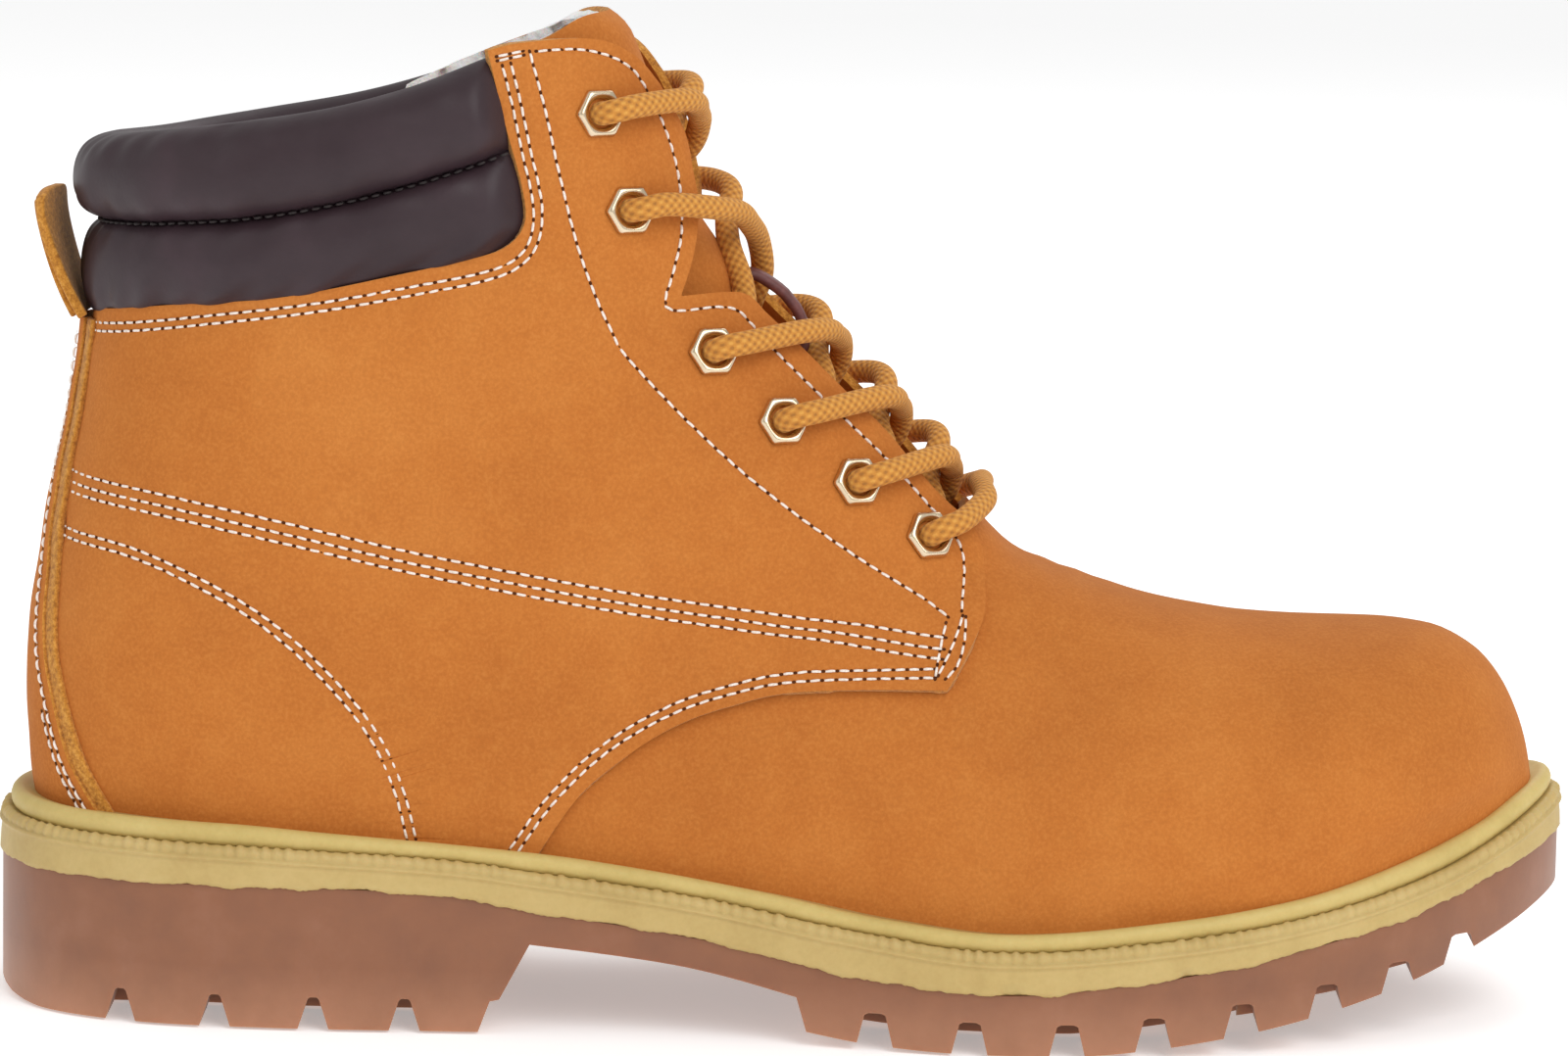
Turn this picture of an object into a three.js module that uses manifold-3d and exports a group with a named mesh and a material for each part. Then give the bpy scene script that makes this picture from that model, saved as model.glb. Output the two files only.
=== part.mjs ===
// Insulated six-inch lace-up boot for the right foot: lugged outsole, midsole, storm welt, stitched leather
// upper with a padded collar, fleece bootie, gusseted tongue, hexagonal eyelets and one round lace.
// Frame: millimetres, +X to the toe, +Y to the inner (medial) side, +Z up, origin under the middle of the sole.
import * as THREE from "three";
import { mergeVertices } from "three/addons/utils/BufferGeometryUtils.js";
import Module from "manifold-3d";

const wasm = await Module();
wasm.setup();

// ---------------------------------------------------------------- driving dimensions, mm
const GAP = 0.3; // clearance kept between touching pieces
const LEATHER = 1.8; // upper leather thickness
const QUARTER_IN = 0; // the quarters lie on the shaping surface
const QUARTER_OUT = QUARTER_IN + LEATHER;
const BACKSTAY_IN = QUARTER_OUT + GAP;
const BACKSTAY_OUT = BACKSTAY_IN + LEATHER;
const UNDER_OUT = QUARTER_IN - GAP; // vamp, heel counter and eyestay backers lie just under the quarters
const UNDER_IN = UNDER_OUT - LEATHER;
const INSULATION_OUT = UNDER_IN - GAP;
const INSULATION_IN = INSULATION_OUT - 3;
const FLEECE_OUT = INSULATION_IN - GAP;
const FLEECE_IN = FLEECE_OUT - 3.6;
const CAVITY = FLEECE_IN - GAP; // everything inside this is room for the foot
const TOE_PUFF_THICKNESS = 1.2;
const TONGUE_OUT = -8.8;
const TONGUE_CROWN = -8; // the tongue stands a little higher between the eyestays
const TONGUE_THICKNESS = 2.2;
const TONGUE_FLEECE = 2.6;
const WELT_INSET = 2.2; // welt edge behind the midsole edge
const MIDSOLE_PROUD = 0.4; // midsole edge past the outsole edge
const LUG_DEPTH = 7.5;
const SIDE_LUG_WIDTH = 17;
const TREAD_CHANNEL = 4;
const BOARD_THICKNESS = 2.3;
const FOOTBED_THICKNESS = 5;
const SHANK = { start: -78, end: 30, halfWidth: 7, thickness: 1.2 };
const LACE_DIAMETER = 4;
const LACE_SIDES = 8;
const EYELET = { acrossFlats: 8.8, rimHeight: 1.1, barrelRadius: 3.3, boreRadius: 2.75 };
const AGLET = { radius: 1.5, length: 13 };

// The shaping surface, as a fan of sections from the top of the shaft round the instep to the toe. Each section
// runs from the ridge (front or top) to the back or bottom line:
// ridge x, z, y | end x, z, y | half width at the widest, at the end | place of the widest | roundness front, back
const SECTIONS = [
  [-36, 209, 0, -133, 186, 0, 36, 0, 0.52, 2.2, 2.1],
  [-28.5, 194, 0, -133, 168, 0, 36, 0, 0.52, 2.25, 2.1],
  [-20.5, 173.5, 0, -133, 150, 0, 35.2, 0, 0.53, 2.3, 2.1],
  [-11, 153.5, 0.5, -134.5, 133, 0, 34.6, 0, 0.55, 2.35, 2.1],
  [0.5, 137, 1, -137, 115, 0, 35, 0, 0.58, 2.4, 2.2],
  [10.5, 126.5, 1.5, -140, 101, 0, 35.5, 0, 0.6, 2.5, 2.3],
  [20, 116, 2, -142.8, 84, 0, 35.8, 0, 0.62, 2.65, 2.4],
  [27.5, 107.5, 2.5, -144.8, 65, 0, 35.8, 0, 0.64, 2.8, 2.5],
  [33.5, 100.5, 3, -144.2, 47, 0, 35.4, 0, 0.65, 2.9, 2.5],
  [38, 95.3, 3.2, -141.5, 33, 0, 35, 0, 0.65, 3, 2.5],
  [40.8, 92.4, 3.3, -139.5, 25, 0, 35, 2, 0.65, 3, 2.5],
  [43.5, 89.9, 3.5, -132, 23, -0.5, 35, 20, 0.64, 3, 2.3],
  [48.5, 87.3, 3.5, -108, 21.5, -1, 35.2, 31, 0.62, 3, 2.1],
  [55, 85, 4, -74, 18.5, -1.5, 35.6, 33, 0.6, 2.95, 2],
  [63, 82.4, 4, -38, 12.5, -2, 37.5, 34, 0.6, 2.8, 2],
  [71, 80, 4, -6, 6.5, -2.5, 41, 38, 0.61, 2.6, 2],
  [80, 78, 4.2, 24, 2.5, -2, 46, 43.5, 0.63, 2.45, 2],
  [91, 76.5, 4.5, 51, 1, 0, 49.5, 47.5, 0.65, 2.3, 2],
  [103, 76.1, 5, 76, 3.5, 2, 49.5, 47.5, 0.65, 2.2, 2],
  [116, 76, 5.5, 98, 8, 4, 46.5, 44.5, 0.65, 2.2, 2],
  [127, 75, 6, 116, 13, 5.5, 40, 38, 0.65, 2.2, 2],
  [136.2, 70.8, 6.3, 130, 18, 6.3, 31, 29, 0.64, 2.1, 2],
  [142.8, 62.5, 6.5, 139.5, 22, 6.5, 20.5, 19, 0.62, 2, 2],
  [146.6, 52, 6.5, 145, 26, 6.5, 11, 10, 0.58, 2, 2],
  [148.4, 41, 6.5, 147.8, 31, 6.5, 2.5, 2, 0.5, 2, 2],
];
const TOE_FADE = 17; // half width under which inward offsets shrink
const ARC_STEPS = 4; // grid columns in each quarter arc of a section

// Edge of the outsole in plan, from the heel round the lateral side to the toe and back along the medial side.
const SOLE_OUTLINE = [
  [-153.8, 0], [-150.5, -16.5], [-141, -30], [-123, -39.5], [-97, -43.2], [-65, -43.6], [-35, -43.8], [-8, -46.5],
  [18, -52.5], [42, -56.7], [66, -56], [90, -50.5], [112, -40.5], [131, -26.5], [146, -10], [153.8, 9],
  [150, 26], [139, 40.5], [121, 51], [98, 56.3], [72, 57], [46, 53], [18, 45], [-8, 40.5],
  [-35, 39.6], [-65, 40.6], [-97, 41.6], [-123, 38], [-141, 28.5], [-150.5, 15.5],
];
// Side lines of the sole unit, x and z.
const OUTSOLE_TOP = [
  [-170, 27.4], [-87, 27.2], [-62, 26], [-48, 23.5], [-18, 19.4], [18, 13.2], [41, 11.4], [67, 13.7],
  [93, 17.9], [119, 23.4], [138, 29.4], [170, 40],
];
const WELT_SEAT = [
  [-170, 35.7], [-128, 34.9], [-87, 33.6], [-62, 32.2], [-48, 30.4], [-18, 26.6], [11, 21.9], [41, 18.9],
  [75, 21.3], [101, 24.7], [128, 31], [145, 37.8], [170, 50],
];
const WELT_TOP = [
  [-170, 40.3], [-107, 38.9], [-88, 37.6], [-48, 34.4], [-26, 31.6], [-4, 28.2], [18, 24.6], [41, 22.7],
  [75, 25.3], [101, 28.7], [119, 33.1], [138, 39.3], [146, 43], [170, 52],
];
const HEEL_TREAD = [[-156, 3.2], [-150, 0.8], [-144, 0], [-57.9, 0], [-54.1, 7.4], [-48.2, 17.2]];
const SHANK_UNDERSIDE = [[-48.2, 17.2], [-18.9, 13.8], [3, 9]];
const FOREFOOT_TREAD = [
  [5, 2.4], [15, 1], [26, 0.2], [34, 0], [56, 0], [66, 0.8], [79, 2.3], [95, 4.8], [111.5, 8.4],
  [125.3, 12.4], [139, 17.8], [156, 25],
];
const HEEL_NOTCHES = [-127, -108.5, -89.5, -72];
const FOREFOOT_NOTCHES = [18, 36, 54.5, 71, 88, 104.5, 119, 131.8];
const NOTCH_DEPTHS = [[-130, 6.2], [60, 6.2], [90, 6], [105, 5.6], [120, 4.8], [135, 4]];

// Pattern lines on the side of the upper, x and z, each group a smooth run that ends in a corner.
const COLLAR_SEAT = [[-150, 132], [-137, 133.7], [-117.9, 137.3], [-97.2, 139.9], [-77, 144.4], [-63.9, 147.4]];
const COLLAR_CORNER = [[-63.9, 147.4], [-55.5, 150], [-51.5, 154.7], [-52.1, 161.9], [-55.2, 172.9], [-58.9, 187.4]];
const FLANGE_TOP = [[-58.9, 187.4], [-52.7, 188.8], [-39.9, 189.2], [-32.5, 185.8], [-27.7, 179.9]];
const FLANGE_EDGE = [[-27.7, 179.9], [-22.9, 170.6], [-20.9, 163.1], [-19.5, 156.5], [-20, 148], [-22, 140.3]];
const NOTCH_STEP = [[-22, 140.3], [-11.1, 140.2], [-6.3, 136.2]];
const LOWER_FLANGE = [[-6.3, 136.2], [8.1, 122.2], [17.7, 112.9], [27.3, 101.6], [34, 95.3]];
const FLANGE_FOOT = [[34, 95.3], [36.8, 89.6], [37.8, 79.4], [34.1, 70.9], [31, 65.5]];
const QUARTER_SWEEP = [[31, 65.5], [3.4, 65.2], [-10.5, 62.3], [-21.4, 58.2], [-31.2, 51.9], [-40.5, 43.3], [-52, 25]];
const EYESTAY_LINE = [
  [-53, 189.5], [-47.8, 176.7], [-45.2, 166], [-41.4, 152.3], [-37.8, 142.4], [-31.1, 130.2], [-17.9, 116.8],
  [-4.7, 105.4], [11.1, 94.1], [26, 85],
];
const VAMP_WING = [[-66, 15], [-57, 40], [-43, 56], [-22, 67], [2, 74], [20, 79], [31, 86], [35, 99], [35, 120]];
const COUNTER_LINE = [
  [-160, 93], [-138.7, 91.7], [-123.9, 90.4], [-107.4, 83.3], [-94.7, 75.2], [-84, 65.1], [-77, 55.8],
  [-72.6, 45.8], [-68, 25],
];
const COLLAR_SEAM = [[-150, 150], [-138, 151.4], [-122, 152.6], [-100, 155.4], [-80, 159.8], [-66, 164], [-52, 169.5]];
const COLLAR_TOP = [[-150, 165.5], [-139, 166.8], [-129, 168.9], [-104.7, 172.8], [-89, 175.6], [-74, 179.7], [-58, 186]];
const TONGUE_BACK = [[-78, 172], [-72, 158], [-58, 140], [-38, 121], [-16, 103], [6, 88], [30, 73]];
const TONGUE_TOP_LINE = [[-78, 176], [-60, 184], [-45, 190.5], [-36, 195.5], [-26, 197.5], [-10, 198]];
const EYELETS = [[-38.2, 175.2], [-32.1, 156.8], [-15.6, 129.6], [-2, 116.3], [12.4, 104.5], [26.5, 93.7]];
const BACKSTAY_HALF_WIDTHS = [[131.2, 10.5], [115, 12], [95, 15], [75, 18.5], [55, 23], [25, 30]];
const TAB = { bottom: 131.6, top: 157, halfWidth: 10.5, lean: 5.8, thickness: 3.4 };
const TONGUE_HINGE = { x: -24.8, z: 181.2 };

// ---------------------------------------------------------------- curves and the shaping surface
// Shape-preserving cubic through (x, y) pairs: it never swings past its points.
function smoothLine(points) {
  const n = points.length;
  const step = points.slice(1).map((p, i) => (p[1] - points[i][1]) / (p[0] - points[i][0]));
  const slope = points.map((p, i) => {
    if (i === 0) return step[0];
    if (i === n - 1) return step[n - 2];
    const a = step[i - 1];
    const b = step[i];
    return a * b <= 0 ? 0 : (2 * a * b) / (a + b);
  });
  return (x) => {
    let i = 0;
    while (i < n - 2 && x > points[i + 1][0]) i += 1;
    const [x0, y0] = points[i];
    const [x1, y1] = points[i + 1];
    const h = x1 - x0;
    const t = Math.min(1, Math.max(0, (x - x0) / h));
    const t2 = t * t;
    const t3 = t2 * t;
    return (
      (2 * t3 - 3 * t2 + 1) * y0 + (t3 - 2 * t2 + t) * h * slope[i] +
      (3 * t2 - 2 * t3) * y1 + (t3 - t2) * h * slope[i + 1]
    );
  };
}

const LAST_SECTION = SECTIONS.length - 1;
const sectionValue = SECTIONS[0].map((_, column) => smoothLine(SECTIONS.map((row, i) => [i, row[column]])));

function section(s) {
  const [fx, fz, fy, ex, ez, ey, half, endHalf, widest, front, back] = sectionValue.map((value) => value(s));
  return { fx, fz, fy, ex, ez, ey, half, endHalf, widest, front, back };
}

// A point of the section at s: t runs 0 at the ridge, 0.5 at the widest, 1 at the end; side is -1 lateral, +1 medial.
function surfacePoint(s, t, side) {
  const k = section(s);
  let along;
  let width;
  if (t <= 0.5) {
    const angle = t * Math.PI;
    along = k.widest * (1 - Math.cos(angle) ** (2 / k.front));
    width = k.half * Math.sin(angle) ** (2 / k.front);
  } else {
    const angle = (t - 0.5) * Math.PI;
    along = k.widest + (1 - k.widest) * Math.sin(angle) ** (2 / k.back);
    width = k.endHalf + (k.half - k.endHalf) * Math.max(0, Math.cos(angle)) ** (2 / k.back);
  }
  const centre = k.fy + (k.ey - k.fy) * along;
  return new THREE.Vector3(k.fx + (k.ex - k.fx) * along, centre + side * width, k.fz + (k.ez - k.fz) * along);
}

function surfaceNormal(s, t, side) {
  const ds = 0.02;
  const dt = 0.004;
  const s0 = Math.max(0, s - ds);
  const s1 = Math.min(LAST_SECTION, s + ds);
  const t0 = Math.max(0, t - dt);
  const t1 = Math.min(1, t + dt);
  const along = surfacePoint(s1, t, side).sub(surfacePoint(s0, t, side));
  const across = surfacePoint(s, t1, side).sub(surfacePoint(s, t0, side));
  if (t < dt || (t > 1 - dt && section(s).endHalf < 1)) across.set(0, t < 0.5 ? side : -side, 0);
  return along.cross(across).multiplyScalar(side).normalize();
}

// Inward offsets fade where the toe closes to a point, so an inner skin never turns through itself.
function offsetPoint(s, t, side, offset) {
  const fade = offset < 0 ? Math.min(1, sectionValue[6](s) / TOE_FADE) : 1;
  return surfacePoint(s, t, side).addScaledVector(surfaceNormal(s, t, side), offset * fade);
}

// Finds s and t of the surface point seen at x, z from the side.
function findOnSide(x, z) {
  const across = (s) => {
    const k = section(s);
    return (k.ex - k.fx) * (z - k.fz) - (k.ez - k.fz) * (x - k.fx);
  };
  let low = 0;
  let high = LAST_SECTION;
  const sign = Math.sign(across(low));
  for (let i = 0; i < 40; i += 1) {
    const middle = (low + high) / 2;
    if (Math.sign(across(middle)) === sign) low = middle;
    else high = middle;
  }
  const s = (low + high) / 2;
  const k = section(s);
  const length2 = (k.ex - k.fx) ** 2 + (k.ez - k.fz) ** 2;
  const along = Math.min(1, Math.max(0, ((x - k.fx) * (k.ex - k.fx) + (z - k.fz) * (k.ez - k.fz)) / length2));
  if (along <= k.widest) {
    return { s, t: Math.acos((1 - along / k.widest) ** (k.front / 2)) / Math.PI };
  }
  return { s, t: 0.5 + Math.asin(((along - k.widest) / (1 - k.widest)) ** (k.back / 2)) / Math.PI };
}

function sidePoint(x, z, side, offset) {
  const { s, t } = findOnSide(x, z);
  return offsetPoint(s, t, side, offset);
}

// A point across the ridge, at a distance y from the middle line.
function ridgePoint(s, y, offset) {
  const k = section(s);
  const share = Math.min(1, Math.abs(y) / k.half);
  return offsetPoint(s, Math.asin(share ** (k.front / 2)) / Math.PI, y < 0 ? -1 : 1, offset);
}

// Smooth runs joined at their corners, as one list of points.
function runs(groups, spacing = 9) {
  const points = [];
  groups.forEach((group) => {
    const curve = new THREE.SplineCurve(group.map(([x, y]) => new THREE.Vector2(x, y)));
    const count = group.length === 2 ? 1 : Math.max(2, Math.round(curve.getLength() / spacing));
    curve.getSpacedPoints(count).forEach((p) => {
      const last = points[points.length - 1];
      if (!last || last.distanceTo(p) > 0.05) points.push(p);
    });
  });
  if (points[0].distanceTo(points[points.length - 1]) < 0.05) points.pop();
  return points;
}

// ---------------------------------------------------------------- solids
function solidOf(geometry) {
  const plain = geometry.index ? geometry.toNonIndexed() : geometry.clone();
  plain.deleteAttribute("normal");
  plain.deleteAttribute("uv");
  const merged = mergeVertices(plain, 1e-4);
  return new wasm.Manifold(
    new wasm.Mesh({
      numProp: 3,
      vertProperties: merged.attributes.position.array,
      triVerts: new Uint32Array(merged.index.array),
    }),
  );
}

function geometryOf(solid) {
  const { vertProperties, triVerts } = solid.getMesh();
  const geometry = new THREE.BufferGeometry();
  geometry.setAttribute("position", new THREE.BufferAttribute(vertProperties, 3));
  geometry.setIndex(new THREE.BufferAttribute(triVerts, 1));
  return geometry;
}

function meshFromTriangles(points, triangles) {
  const geometry = new THREE.BufferGeometry();
  geometry.setAttribute("position", new THREE.Float32BufferAttribute(points.flatMap((p) => [p.x, p.y, p.z]), 3));
  geometry.setIndex(triangles);
  return solidOf(geometry);
}

// Prisms: an outline extruded between two limits along Z, along Y (outline in x, z) or along X (outline in y, z).
function prismZ(points, low, high) {
  const geometry = new THREE.ExtrudeGeometry(new THREE.Shape(points), { depth: high - low, bevelEnabled: false });
  return solidOf(geometry.translate(0, 0, low));
}

function prismY(points, low, high) {
  const geometry = new THREE.ExtrudeGeometry(new THREE.Shape(points), { depth: high - low, bevelEnabled: false });
  return solidOf(geometry.rotateX(Math.PI / 2).translate(0, high, 0));
}

function prismX(points, low, high) {
  const geometry = new THREE.ExtrudeGeometry(new THREE.Shape(points), { depth: high - low, bevelEnabled: false });
  return solidOf(geometry.rotateZ(Math.PI / 2).rotateY(Math.PI / 2).translate(low, 0, 0));
}

const COLUMNS = 4 * ARC_STEPS; // grid columns from the lateral end over the ridge to the medial end

function gridPoint(row, column, offset) {
  const from = column - 2 * ARC_STEPS;
  const t = Math.abs(from) / (2 * ARC_STEPS);
  return offsetPoint(row, t, from < 0 ? -1 : 1, typeof offset === "function" ? offset(row, t) : offset);
}

function gridPoints(offset) {
  const points = [];
  for (let row = 0; row <= LAST_SECTION; row += 1) {
    for (let column = 0; column <= COLUMNS; column += 1) points.push(gridPoint(row, column, offset));
  }
  return points;
}

// Rows whose two ends meet on the middle line of the heel share that line.
function closesAtBack(row) {
  return SECTIONS[row][7] === 0;
}

function weldBack(points) {
  for (let row = 0; row <= LAST_SECTION; row += 1) {
    if (!closesAtBack(row)) continue;
    const first = row * (COLUMNS + 1);
    points[first].y = 0;
    points[first + COLUMNS] = points[first].clone();
  }
  return points;
}

// The skin between two offsets of the shaping surface, open at the top and along the sole.
function shell(inner, outer) {
  const width = COLUMNS + 1;
  const out = weldBack(gridPoints(outer));
  const into = weldBack(gridPoints(inner));
  const points = [...out, ...into];
  const shift = out.length;
  const triangles = [];
  const quad = (a, b, c, d) => triangles.push(a, b, c, a, c, d);
  for (let row = 0; row < LAST_SECTION; row += 1) {
    for (let column = 0; column < COLUMNS; column += 1) {
      const a = row * width + column;
      quad(a, a + width, a + width + 1, a + 1);
      quad(shift + a, shift + a + 1, shift + a + width + 1, shift + a + width);
    }
    if (!closesAtBack(row) || !closesAtBack(row + 1)) {
      const a = row * width;
      const b = a + COLUMNS;
      quad(a, shift + a, shift + a + width, a + width);
      quad(b, b + width, shift + b + width, shift + b);
    }
  }
  const toe = LAST_SECTION * width;
  for (let column = 0; column < COLUMNS; column += 1) {
    quad(column, column + 1, shift + column + 1, shift + column);
    quad(toe + column, shift + toe + column, shift + toe + column + 1, toe + column + 1);
  }
  return meshFromTriangles(points, triangles);
}

// Everything inside an offset of the shaping surface.
function core(offset) {
  const width = COLUMNS + 1;
  const points = weldBack(gridPoints(offset));
  const triangles = [];
  const quad = (a, b, c, d) => triangles.push(a, b, c, a, c, d);
  for (let row = 0; row < LAST_SECTION; row += 1) {
    const a = row * width;
    for (let column = 0; column < COLUMNS; column += 1) quad(a + column, a + column + width, a + column + width + 1, a + column + 1);
    if (!closesAtBack(row) || !closesAtBack(row + 1)) quad(a + COLUMNS, a + COLUMNS + width, a + width, a);
  }
  const cap = (row, flip) => {
    const first = row * width;
    for (let column = 0; column < COLUMNS / 2; column += 1) {
      const a = first + column;
      const b = first + COLUMNS - column;
      if (flip) quad(a, b, b - 1, a + 1);
      else quad(a, a + 1, b - 1, b);
    }
  };
  cap(0, false);
  cap(LAST_SECTION, true);
  return meshFromTriangles(points, triangles);
}

const BIG = 400;

// The space above a side line raised by `lift`, for trimming.
function above(line, lift) {
  const height = smoothLine(line);
  const points = [];
  for (let x = -165; x <= 165; x += 22) points.push(new THREE.Vector2(x, height(x) + lift));
  points.push(new THREE.Vector2(165, BIG), new THREE.Vector2(-165, BIG));
  return prismY(points, -BIG, BIG);
}

// The band between two side lines.
function band(low, lowLift, high, highLift) {
  return above(low, lowLift).subtract(above(high, highLift));
}

function insetOutline(points, inset) {
  const count = points.length;
  return points.map((p, i) => {
    const before = points[(i + count - 1) % count];
    const after = points[(i + 1) % count];
    const along = after.clone().sub(before).normalize();
    return new THREE.Vector2(p.x - along.y * inset, p.y + along.x * inset);
  });
}

const soleCurve = new THREE.CatmullRomCurve3(
  SOLE_OUTLINE.map(([x, y]) => new THREE.Vector3(x, y, 0)), true, "centripetal");
const soleEdge = soleCurve.getSpacedPoints(60).slice(0, -1).map((p) => new THREE.Vector2(p.x, p.y));

// ---------------------------------------------------------------- materials
function material(color, roughness, metalness = 0) {
  return new THREE.MeshStandardMaterial({ color, roughness, metalness });
}

const nubuck = () => material(0xc87a37, 0.9);
const gum = () => material(0x93654e, 0.6);
const creamRubber = () => material(0xcdb970, 0.7);
const darkLeather = () => material(0x43373b, 0.5);
const whitePile = () => material(0xe8e8e8, 1);
const board = () => material(0xb59a78, 0.9);
const metal = () => material(0xd9c7b0, 0.3, 1);
const laceYarn = () => material(0xcb933f, 0.85);

const boot = new THREE.Group();

function add(name, shape, finish) {
  const mesh = new THREE.Mesh(shape.isBufferGeometry ? shape : geometryOf(shape), finish);
  mesh.name = name;
  boot.add(mesh);
  return mesh;
}

// ---------------------------------------------------------------- sole unit
// A slot between two lugs: narrow at its root and wider at the tread.
function notch(x, floor, fromY, toY, depth) {
  const root = x < 0 ? 1.1 : 2;
  const shape = [[x - 4.9, floor - 6], [x - root, floor + depth], [x + root, floor + depth], [x + 4.9, floor - 6]];
  return prismY(shape.map(([a, b]) => new THREE.Vector2(a, b)), fromY, toY);
}

const notchDepth = smoothLine(NOTCH_DEPTHS);

function makeOutsole() {
  const profile = runs([HEEL_TREAD.slice(0, 3), HEEL_TREAD.slice(2, 4), HEEL_TREAD.slice(3), SHANK_UNDERSIDE,
    [[3, 9], [5, 2.4]], FOREFOOT_TREAD.slice(0, 4), FOREFOOT_TREAD.slice(3, 5), FOREFOOT_TREAD.slice(4)], 12);
  profile.push(new THREE.Vector2(156, 60), new THREE.Vector2(-156, 60));
  let solid = prismZ(soleEdge, -20, 60).intersect(prismY(profile, -80, 80)).subtract(above(OUTSOLE_TOP, 0));
  const tread = smoothLine(FOREFOOT_TREAD);
  const inner = insetOutline(soleEdge, SIDE_LUG_WIDTH);
  const ring = prismZ(inner, -30, 60).subtract(prismZ(insetOutline(soleEdge, SIDE_LUG_WIDTH + TREAD_CHANNEL), -40, 70));
  const heelSpace = prismY(runs([[[-150, -20], [-64, -20]], [[-64, -20], [-64, LUG_DEPTH]], [[-64, LUG_DEPTH], [-150, LUG_DEPTH]],
    [[-150, LUG_DEPTH], [-150, -20]]]), -80, 80);
  const foreSpace = [];
  for (let x = 12; x <= 150; x += 11.5) foreSpace.push(new THREE.Vector2(x, tread(x) + LUG_DEPTH - 1));
  foreSpace.push(new THREE.Vector2(150, -20), new THREE.Vector2(12, -20));
  solid = solid.subtract(ring.intersect(heelSpace.add(prismY(foreSpace.reverse(), -80, 80))));
  [...HEEL_NOTCHES.map((x) => [x, 0]), ...FOREFOOT_NOTCHES.map((x) => [x, tread(x)])].forEach(([x, floor]) => {
    const lateral = soleReach(x, -1);
    const medial = soleReach(x, 1);
    solid = solid.subtract(notch(x, floor, -80, lateral + SIDE_LUG_WIDTH + 1, notchDepth(x)));
    solid = solid.subtract(notch(x, floor, medial - SIDE_LUG_WIDTH - 1, 80, notchDepth(x)));
    const half = x < 0 ? 9.5 : 8.5;
    solid = solid.subtract(notch(x + half, tread(x + half) * (x > 0) + 0.5, lateral + SIDE_LUG_WIDTH + 1,
      medial - SIDE_LUG_WIDTH - 1, LUG_DEPTH - 2));
  });
  return solid;
}

// Edge of the sole at x on one side.
function soleReach(x, side) {
  const near = soleEdge.filter((p) => Math.sign(p.y) === side);
  const sorted = near.map((p) => [p.x, p.y]).sort((a, b) => a[0] - b[0]);
  return smoothLine(sorted)(x);
}

const behind = (x) => prismX([[-90, -20], [90, -20], [90, 200], [-90, 200]].map(([a, b]) => new THREE.Vector2(a, b)),
  -200, x);
const vampCore = core(UNDER_OUT + GAP);
const quarterCore = core(QUARTER_OUT + GAP).intersect(behind(-43));
const backstayCore = core(BACKSTAY_OUT + GAP).intersect(behind(-112));
const cavityCore = core(CAVITY);

add("outsole", makeOutsole(), gum());

function shankBlock(margin) {
  const seat = smoothLine(WELT_SEAT);
  const points = [];
  for (let x = SHANK.start - margin; x <= SHANK.end + margin + 0.1; x += (SHANK.end - SHANK.start + 2 * margin) / 8) {
    points.push(new THREE.Vector2(x, seat(x) - GAP - SHANK.thickness - margin));
  }
  const upper = points.map((p) => new THREE.Vector2(p.x, p.y + SHANK.thickness + (margin ? 20 : 0))).reverse();
  return prismY([...points, ...upper], -SHANK.halfWidth - margin - 2, SHANK.halfWidth + margin - 2);
}

const midsoleEdge = insetOutline(soleEdge, -MIDSOLE_PROUD);
add("midsole", prismZ(midsoleEdge, -20, 80).intersect(band(OUTSOLE_TOP, GAP, WELT_SEAT, 0)).subtract(shankBlock(GAP)),
  creamRubber());
add("shank", shankBlock(0), metal());
add("welt", prismZ(insetOutline(soleEdge, WELT_INSET), -20, 80).intersect(band(WELT_SEAT, GAP, WELT_TOP, 0))
  .subtract(vampCore).subtract(quarterCore).subtract(backstayCore), creamRubber());
add("insole_board", cavityCore.intersect(band(WELT_SEAT, GAP, WELT_SEAT, GAP + BOARD_THICKNESS)), board());
add("footbed", cavityCore.intersect(
  band(WELT_SEAT, 2 * GAP + BOARD_THICKNESS, WELT_SEAT, 2 * GAP + BOARD_THICKNESS + FOOTBED_THICKNESS)), whitePile());

// ---------------------------------------------------------------- leather upper
const overSole = above(WELT_SEAT, GAP);
const quarterSkin = shell(QUARTER_IN, QUARTER_OUT).intersect(overSole);
const underSkin = shell(UNDER_IN, UNDER_OUT).intersect(overSole);

const quarterOutline = runs([COLLAR_SEAT, COLLAR_CORNER, FLANGE_TOP, FLANGE_EDGE, NOTCH_STEP, LOWER_FLANGE, FLANGE_FOOT,
  QUARTER_SWEEP, [[-52, 25], [-170, 20]], [[-170, 20], [-170, 131.5]], [[-170, 131.5], [-150, 132]]]).reverse();
const SIDES = { lateral: -1, medial: 1 };
const halfPrism = (points, side) => (side < 0 ? prismY(points, -90, -GAP / 2) : prismY(points, GAP / 2, 90));

function eyeletPlace(index, side) {
  const [x, z] = EYELETS[index];
  const { s, t } = findOnSide(x, z);
  return { s, t, point: surfacePoint(s, t, side), normal: surfaceNormal(s, t, side) };
}

// Stands a geometry whose axis is Y on the surface, with its Z side turned upward.
function alongNormal(geometry, place, offset) {
  const up = new THREE.Vector3(0, 0, 1).addScaledVector(place.normal, -place.normal.z).normalize();
  const turn = new THREE.Matrix4().makeBasis(place.normal.clone().cross(up), place.normal, up);
  const at = place.point.clone().addScaledVector(place.normal, offset);
  return geometry.applyMatrix4(turn).translate(at.x, at.y, at.z);
}

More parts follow.
